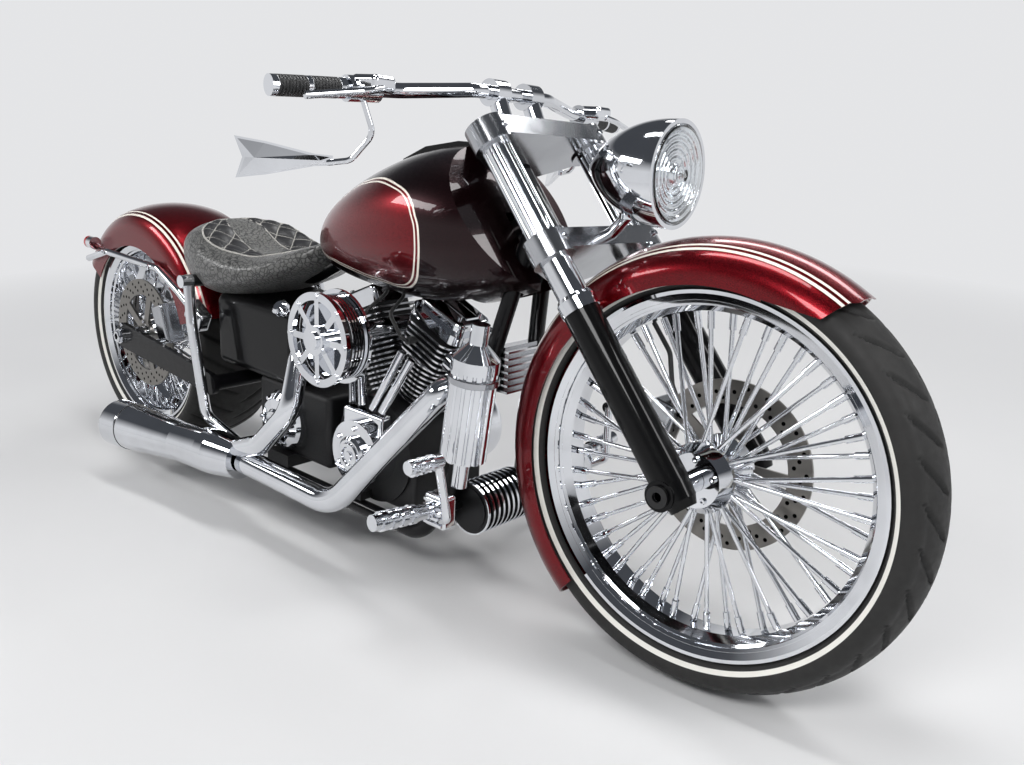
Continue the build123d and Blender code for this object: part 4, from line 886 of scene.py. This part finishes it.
def quilt_leather():
    """Smooth dark leather with pale stitching along the lines of the quilt."""
    shade = Shade("quilted_leather", Coat_Weight=0.2, Coat_Roughness=0.3)
    x, y, _ = shade.local(BIKE)
    seams = []
    for operation in ("ADD", "SUBTRACT"):
        spot = shade.math("DIVIDE", shade.math(operation, x, y), QUILT_DIAGONAL)
        nearest = shade.math("SUBTRACT", spot, shade.math("ROUND", spot))
        seams.append(shade.band(nearest, 0.0, STITCH_HALF, STITCH_SOFT))
    seam = shade.either(*seams)
    pore = shade.noise(260.0, 2.0)
    shade.set("Base Color", shade.mix(seam, shade.mix(pore, rgb("1e1e20"), rgb("2b2b2d")), rgb("9c9a94")))
    shade.set("Roughness", shade.ramp(pore, 0.3, 0.7, 0.36, 0.5))
    shade.bump(pore, 0.0003, 0.5)
    return shade.material


SEAT_SIDE = leather("scaled_leather", "5a5a58", "141414", 92.0, 0.0014, 0.3)
SEAT_MIDDLE = leather("panel_leather", "686865", "181818", 108.0, 0.0012, 0.25)
SEAT_PIPING = leather("piping_leather", "b4b2ac", "7c7a76", 400.0, 0.0002, 0.2)
SEAT_QUILT = quilt_leather()
seat()


# Small fittings

def screw_data(place, radius, height, steps=14):
    """A socket-head screw standing on the plane of place."""
    profile = [(radius * 0.48, height * 0.4), (radius * 0.48, height), (radius * 0.86, height),
               (radius, height * 0.78), (radius, -0.6)]
    verts, faces = lathe_data(profile, place, steps)
    faces.append(tuple(range(steps)))
    return verts, faces


def ring_data(place, inner, outer, height, steps=6):
    """A nut or collar standing on the plane of place; six steps make a hexagon."""
    edge = min(1.5, height * 0.2)
    profile = [(inner, 0.0), (inner, height), (outer - edge, height), (outer, height - edge), (outer, -0.4)]
    return lathe_data(profile, place, steps)


def fitting(name, parts, place, body, material, smooth=False):
    """One piece from several (vertices, faces) lists given in the millimetres of place."""
    verts, faces = joined(parts)
    piece = mesh_object(name, [place @ v for v in verts], faces, material, body, smooth)
    return piece


def on_cylinder(side, ahead, left, up):
    """A point in the frame of the front (1) or rear (-1) cylinder."""
    lean = V_HALF_ANGLE * side
    return CRANK + Vector((ahead * cos(lean) + up * sin(lean), left, up * cos(lean) - ahead * sin(lean)))


def ring_of(count, middle, radius, start=90.0):
    """Points round a middle in the bike's side view."""
    turns = [radians(start + 360.0 * k / count) for k in range(count)]
    return [middle + Vector((radius * cos(turn), 0, radius * sin(turn))) for turn in turns]


RIGHT = Vector((0, -1, 0))
LEFT = Vector((0, 1, 0))
SIDES = ((-1, RIGHT), (1, LEFT))


def screw_ring(middle, direction, reach, count, radius, height):
    """Screws in a ring round a middle, standing out to the bike's left or right."""
    return [screw_data(along(spot, direction), radius, height) for spot in ring_of(count, middle, reach)]


def engine_screws():
    """Screws of the rocker boxes, the cam cover and the primary cover."""
    parts = []
    rocker_rows = [  # ahead, left, up, radius
        (62, 48, 318, 4.4), (62, -48, 318, 4.4), (-62, 48, 318, 4.4), (-62, -48, 318, 4.4),
        (38, 28, 341, 5.2), (38, -28, 341, 5.2), (-38, 28, 341, 5.2), (-38, -28, 341, 5.2),
    ]
    for side in (-1, 1):
        up = on_cylinder(side, 0, 0, 1) - CRANK
        for ahead, left, height, radius in rocker_rows:
            parts.append(screw_data(along(on_cylinder(side, ahead, left, height), up), radius, 5.0))
    discs = [  # middle, radius of the ring, how many, screw radius, direction
        (Vector((955, -157.3, 240)), 56.0, 6, 5.5, RIGHT),
        (Vector((955, 216, 240)), 56.0, 5, 5.5, LEFT),
        (Vector((665, 216, 265)), 77.0, 6, 5.5, LEFT),
        (Vector((665, 224, 265)), 46.0, 5, 5.0, LEFT),
    ]
    for middle, reach, count, radius, direction in discs:
        parts += screw_ring(middle, direction, reach, count, radius, 4.5)
    for spot in (Vector((812, 216, 316)), Vector((810, 216, 188))):
        parts.append(screw_data(along(spot, LEFT), 5.5, 4.5))
    fitting("engine_screws", parts, BIKE, "chassis", CHROME)


def frame_screws():
    """Screws of the struts and the swingarm, and the rear axle's nuts."""
    parts = []
    spots = [  # x, y, z, radius, for both sides
        (-120, 153, 524, 7.0), (120, 153, 517, 7.0), (348, 167, 428, 8.0), (0, 172.2, 346, 6.0),
    ]
    for x, y, z, radius in spots:
        for side, direction in SIDES:
            parts.append(screw_data(along((x, side * y, z), direction), radius, 5.0))
    for side, direction in SIDES:
        parts.append(ring_data(along((0, side * 184, 316), direction), 9.0, 17.0, 8.0))
    fitting("frame_screws", parts, BIKE, "chassis", CHROME)


def canister_band():
    """Clamp round the canister, below its shoulder."""
    foot = along(CANISTER_FOOT, CANISTER_HEAD - CANISTER_FOOT)
    place = foot @ Matrix.Translation((0, 0, CANISTER_BAND))
    profile = [(40, 0), (45.5, 0), (47, 1.5), (47, 11.5), (45.5, 13), (40, 13)]
    fitting("canister_band", [lathe_data(profile, place)], BIKE, "chassis", SATIN)


def fork_screws():
    """The stem's and the tubes' nuts on the upper yoke, and the pinch screws of both yokes."""
    top = Vector((-sin(RAKE), 0, cos(RAKE)))
    ahead = Vector((cos(RAKE), 0, sin(RAKE)))
    parts = [ring_data(along(fork_point(0, 0, 682), top), 7.0, 19.0, 10.0)]
    for side in (-1, 1):
        parts.append(ring_data(along(fork_point(80, side * 140, 682), top), 8.0, 17.0, 7.0))
        for height in (437, 660):
            parts.append(screw_data(along(fork_point(117.6, side * 140, height), ahead), 6.0, 5.0))
    fitting("fork_screws", parts, FORK, "steering", CHROME)


def wheel_screws():
    """Screws on the hubs' ends and round the brake discs' middles."""
    front = screw_ring(FRONT_AXLE + RIGHT * 61, RIGHT, 36.0, 5, 5.5, 5.0)
    front += screw_ring(FRONT_AXLE + LEFT * 66.3, LEFT, 30.0, 5, 4.6, 4.0)
    fitting("front_hub_screws", front, FORK, "front_wheel", CHROME)
    rear = screw_ring(REAR_AXLE + RIGHT * 111.3, RIGHT, 30.0, 5, 4.6, 4.0)
    fitting("rear_hub_screws", rear, BIKE, "rear_wheel", CHROME)


LENS_RADIUS = 81.0
LENS_RISE = 12.0
LENS_THICKNESS = 3.0
LENS_STEPS = [1, 12, 24, 36, 48, 60, 70, 77]
LENS_EDGE = [(81, -0.5), (81, 7.6), (79, 7.6), (78, 0.5)]
DISH = [
    (77.5, 0.8), (74, 3.2), (64, 5.4), (50, 6.8), (34, 7.6), (20, 7.8), (17, 7.8), (17, 1.0),
    (12, -2.4), (1, -3.6),
]


def lens_height(radius, thick):
    """Height of the domed lens at a radius, thick behind its outer face."""
    ball = (LENS_RADIUS ** 2 + LENS_RISE ** 2) / (2 * LENS_RISE)
    return -0.5 - LENS_RISE + thick + ball - sqrt(ball * ball - radius * radius)


def headlamp():
    """Ringed dish behind a domed lens."""
    place = along(LAMP_CENTRE, (-1, 0, 0))
    outside = [(r, lens_height(r, 0.0)) for r in LENS_STEPS]
    inside = [(r, lens_height(r, LENS_THICKNESS)) for r in reversed(LENS_STEPS)]
    verts, faces = lathe_data(outside + LENS_EDGE + inside, place, closed=True)
    lens = mesh_object("headlamp_glass", [FORK @ v for v in verts], faces, LENS_CLEAR, "steering")
    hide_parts("headlamp_lens")
    dish = [lathe_data(DISH, place)]
    fitting("headlamp_dish", dish, FORK, "steering", reflector_metal(), smooth=True)


MIRROR_CENTRE = Vector((1092, 322, 832))
MIRROR_PLAN = [
    (3, -6), (30, -8.5), (110, -25), (156, -31), (144, 0), (156, 31), (110, 25), (30, 8.5), (3, 6),
]
MIRROR_RIDGE = [(20, 0), (128, 0)]
RIDGE_ENDS = [0, 0, 1, 1, 1, 1, 1, 0, 0]        # end of the ridge that each corner of the plan faces
MIRROR_FACE = 3.6               # half thickness at the edge and at the ridge
MIRROR_CREST = 8.0


def mirror_backs():
    """Low ridged facets on both faces of the pointed mirrors."""
    count = len(MIRROR_PLAN)
    parts = []
    for side, _ in SIDES:
        x = Vector((-0.72, side * 0.69, -0.03)).normalized()
        z = Vector((-0.69, -side * 0.72, 0.05))
        z = (z - x * z.dot(x)).normalized()
        y = z.cross(x)
        centre = Vector((MIRROR_CENTRE.x, side * MIRROR_CENTRE.y, MIRROR_CENTRE.z))
        for face in (-1, 1):
            verts = [centre + x * a + y * b + z * (MIRROR_FACE * face) for a, b in MIRROR_PLAN]
            verts += [centre + x * a + y * b + z * (MIRROR_CREST * face) for a, b in MIRROR_RIDGE]
            faces = []
            for i in range(count):
                j = (i + 1) % count
                ends = dict.fromkeys((count + RIDGE_ENDS[j], count + RIDGE_ENDS[i]))
                faces.append((i, j, *ends)[::face])
            parts.append((verts, faces))
    fitting("mirror_facets", parts, FORK, "steering", CHROME)


engine_screws()
mirror_backs()
frame_screws()
canister_band()
fork_screws()
wheel_screws()
headlamp()


# Stage, light and camera

CAMERA_SPOT = Vector((1.5452, -1.3379, 1.021))
CAMERA_RIGHT = Vector((0.742, 0.6704, 0.0))
CAMERA_UP = Vector((-0.2139, 0.2367, 0.9478))
CAMERA_BACK = Vector((0.6354, -0.7033, 0.319))
FOCAL_PIXELS = 950.0
IMAGE_WIDTH = 1024.0
SENSOR = 36.0
HORIZON = (0.78, 0.785, 0.80, 1.0)
ZENITH = (0.07, 0.075, 0.085, 1.0)
FADE_START = 1.3                # metres from the bike where the floor begins to fade into the horizon
FADE_END = 3.6
FLOOR_REACH = 60.0
DUSK_START = 0.12               # the world darkens overhead between these heights of a unit sphere
DUSK_END = 0.42
SOFTBOXES = [  # name, place, aim, size, watts
    ("key", (1.6, -2.6, 2.9), (0.0, 0.0, 0.4), (2.2, 0.7), 80.0),
    ("fill", (-2.4, -2.4, 2.4), (-0.2, 0.0, 0.4), (2.0, 0.5), 45.0),
    ("nose", (3.2, 0.6, 2.2), (0.3, 0.0, 0.5), (0.6, 1.8), 34.0),
    ("back", (0.0, 2.9, 3.2), (0.0, 0.0, 0.5), (3.4, 0.6), 58.0),
    ("top", (0.0, 0.0, 3.4), (0.0, 0.0, 0.0), (2.6, 0.4), 44.0),
]


def seen_ray(shade):
    """1 for what the camera, mirrors and glass see, 0 for the light that falls on things."""
    path = shade.nodes.new("ShaderNodeLightPath").outputs
    return shade.either(path["Is Camera Ray"], path["Is Glossy Ray"], path["Is Transmission Ray"])


def floor():
    """Pale matt floor that fades into the horizon."""
    shade = Shade("pale_floor", Roughness=0.75)
    shade.set("Base Color", shade.mix(shade.noise(2.0), rgb("dcdcdc"), rgb("d6d6d7")))
    x, y, _ = shade.local(Matrix.Identity(4))
    far = shade.math("MULTIPLY", shade.ramp(shade.length(x, y), FADE_START, FADE_END), seen_ray(shade))
    glow = shade.nodes.new("ShaderNodeEmission")
    glow.inputs["Color"].default_value = HORIZON
    blend = shade.nodes.new("ShaderNodeMixShader")
    shade.feed(blend.inputs[0], far)
    shade.feed(blend.inputs[1], shade.surface.outputs[0])
    shade.feed(blend.inputs[2], glow.outputs[0])
    shade.feed(shade.nodes["Material Output"].inputs["Surface"], blend.outputs[0])
    mesh = bpy.data.meshes.new("floor")
    corners = [(x * FLOOR_REACH, y * FLOOR_REACH, 0) for x, y in ((-1, -1), (1, -1), (1, 1), (-1, 1))]
    mesh.from_pydata(corners, [], [(0, 1, 2, 3)])
    mesh.materials.append(shade.material)
    plane = bpy.data.objects.new("floor", mesh)
    bpy.context.scene.collection.objects.link(plane)


def world():
    """Pale at the horizon and greyer overhead, so that chrome has something to show."""
    space = bpy.data.worlds.new("studio")
    space.use_nodes = True
    nodes = space.node_tree.nodes
    links = space.node_tree.links
    coords = nodes.new("ShaderNodeTexCoord")
    split = nodes.new("ShaderNodeSeparateXYZ")
    links.new(coords.outputs["Generated"], split.inputs[0])
    rise = nodes.new("ShaderNodeMapRange")
    links.new(split.outputs["Z"], rise.inputs["Value"])
    rise.inputs["From Min"].default_value = DUSK_START
    rise.inputs["From Max"].default_value = DUSK_END
    shade = nodes.new("ShaderNodeMix")
    shade.data_type = "RGBA"
    links.new(rise.outputs[0], shade.inputs[0])
    shade.inputs[6].default_value = HORIZON
    shade.inputs[7].default_value = ZENITH
    back = nodes["Background"]
    links.new(shade.outputs[2], back.inputs["Color"])
    back.inputs["Strength"].default_value = 1.0
    bpy.context.scene.world = space


def softbox(name, spot, aim, size, power):
    """A rectangular lamp that faces its aim."""
    lamp = bpy.data.lights.new(name, "AREA")
    lamp.shape = "RECTANGLE"
    lamp.size, lamp.size_y = size
    lamp.energy = power
    holder = bpy.data.objects.new(name, lamp)
    bpy.context.scene.collection.objects.link(holder)
    direction = Vector(aim) - Vector(spot)
    holder.location = spot
    holder.rotation_euler = direction.to_track_quat("-Z", "Y").to_euler()


def camera():
    """The photograph's point of view and lens."""
    lens = bpy.data.cameras.new("camera")
    lens.sensor_width = SENSOR
    lens.sensor_fit = "HORIZONTAL"
    lens.lens = FOCAL_PIXELS / IMAGE_WIDTH * SENSOR
    holder = bpy.data.objects.new("camera", lens)
    bpy.context.scene.collection.objects.link(holder)
    turn = Matrix((CAMERA_RIGHT, CAMERA_UP, CAMERA_BACK)).transposed().to_4x4()
    holder.matrix_world = Matrix.Translation(CAMERA_SPOT) @ turn
    bpy.context.scene.camera = holder


floor()
world()
for row in SOFTBOXES:
    softbox(*row)
camera()
bpy.context.scene.view_settings.view_transform = "Standard"
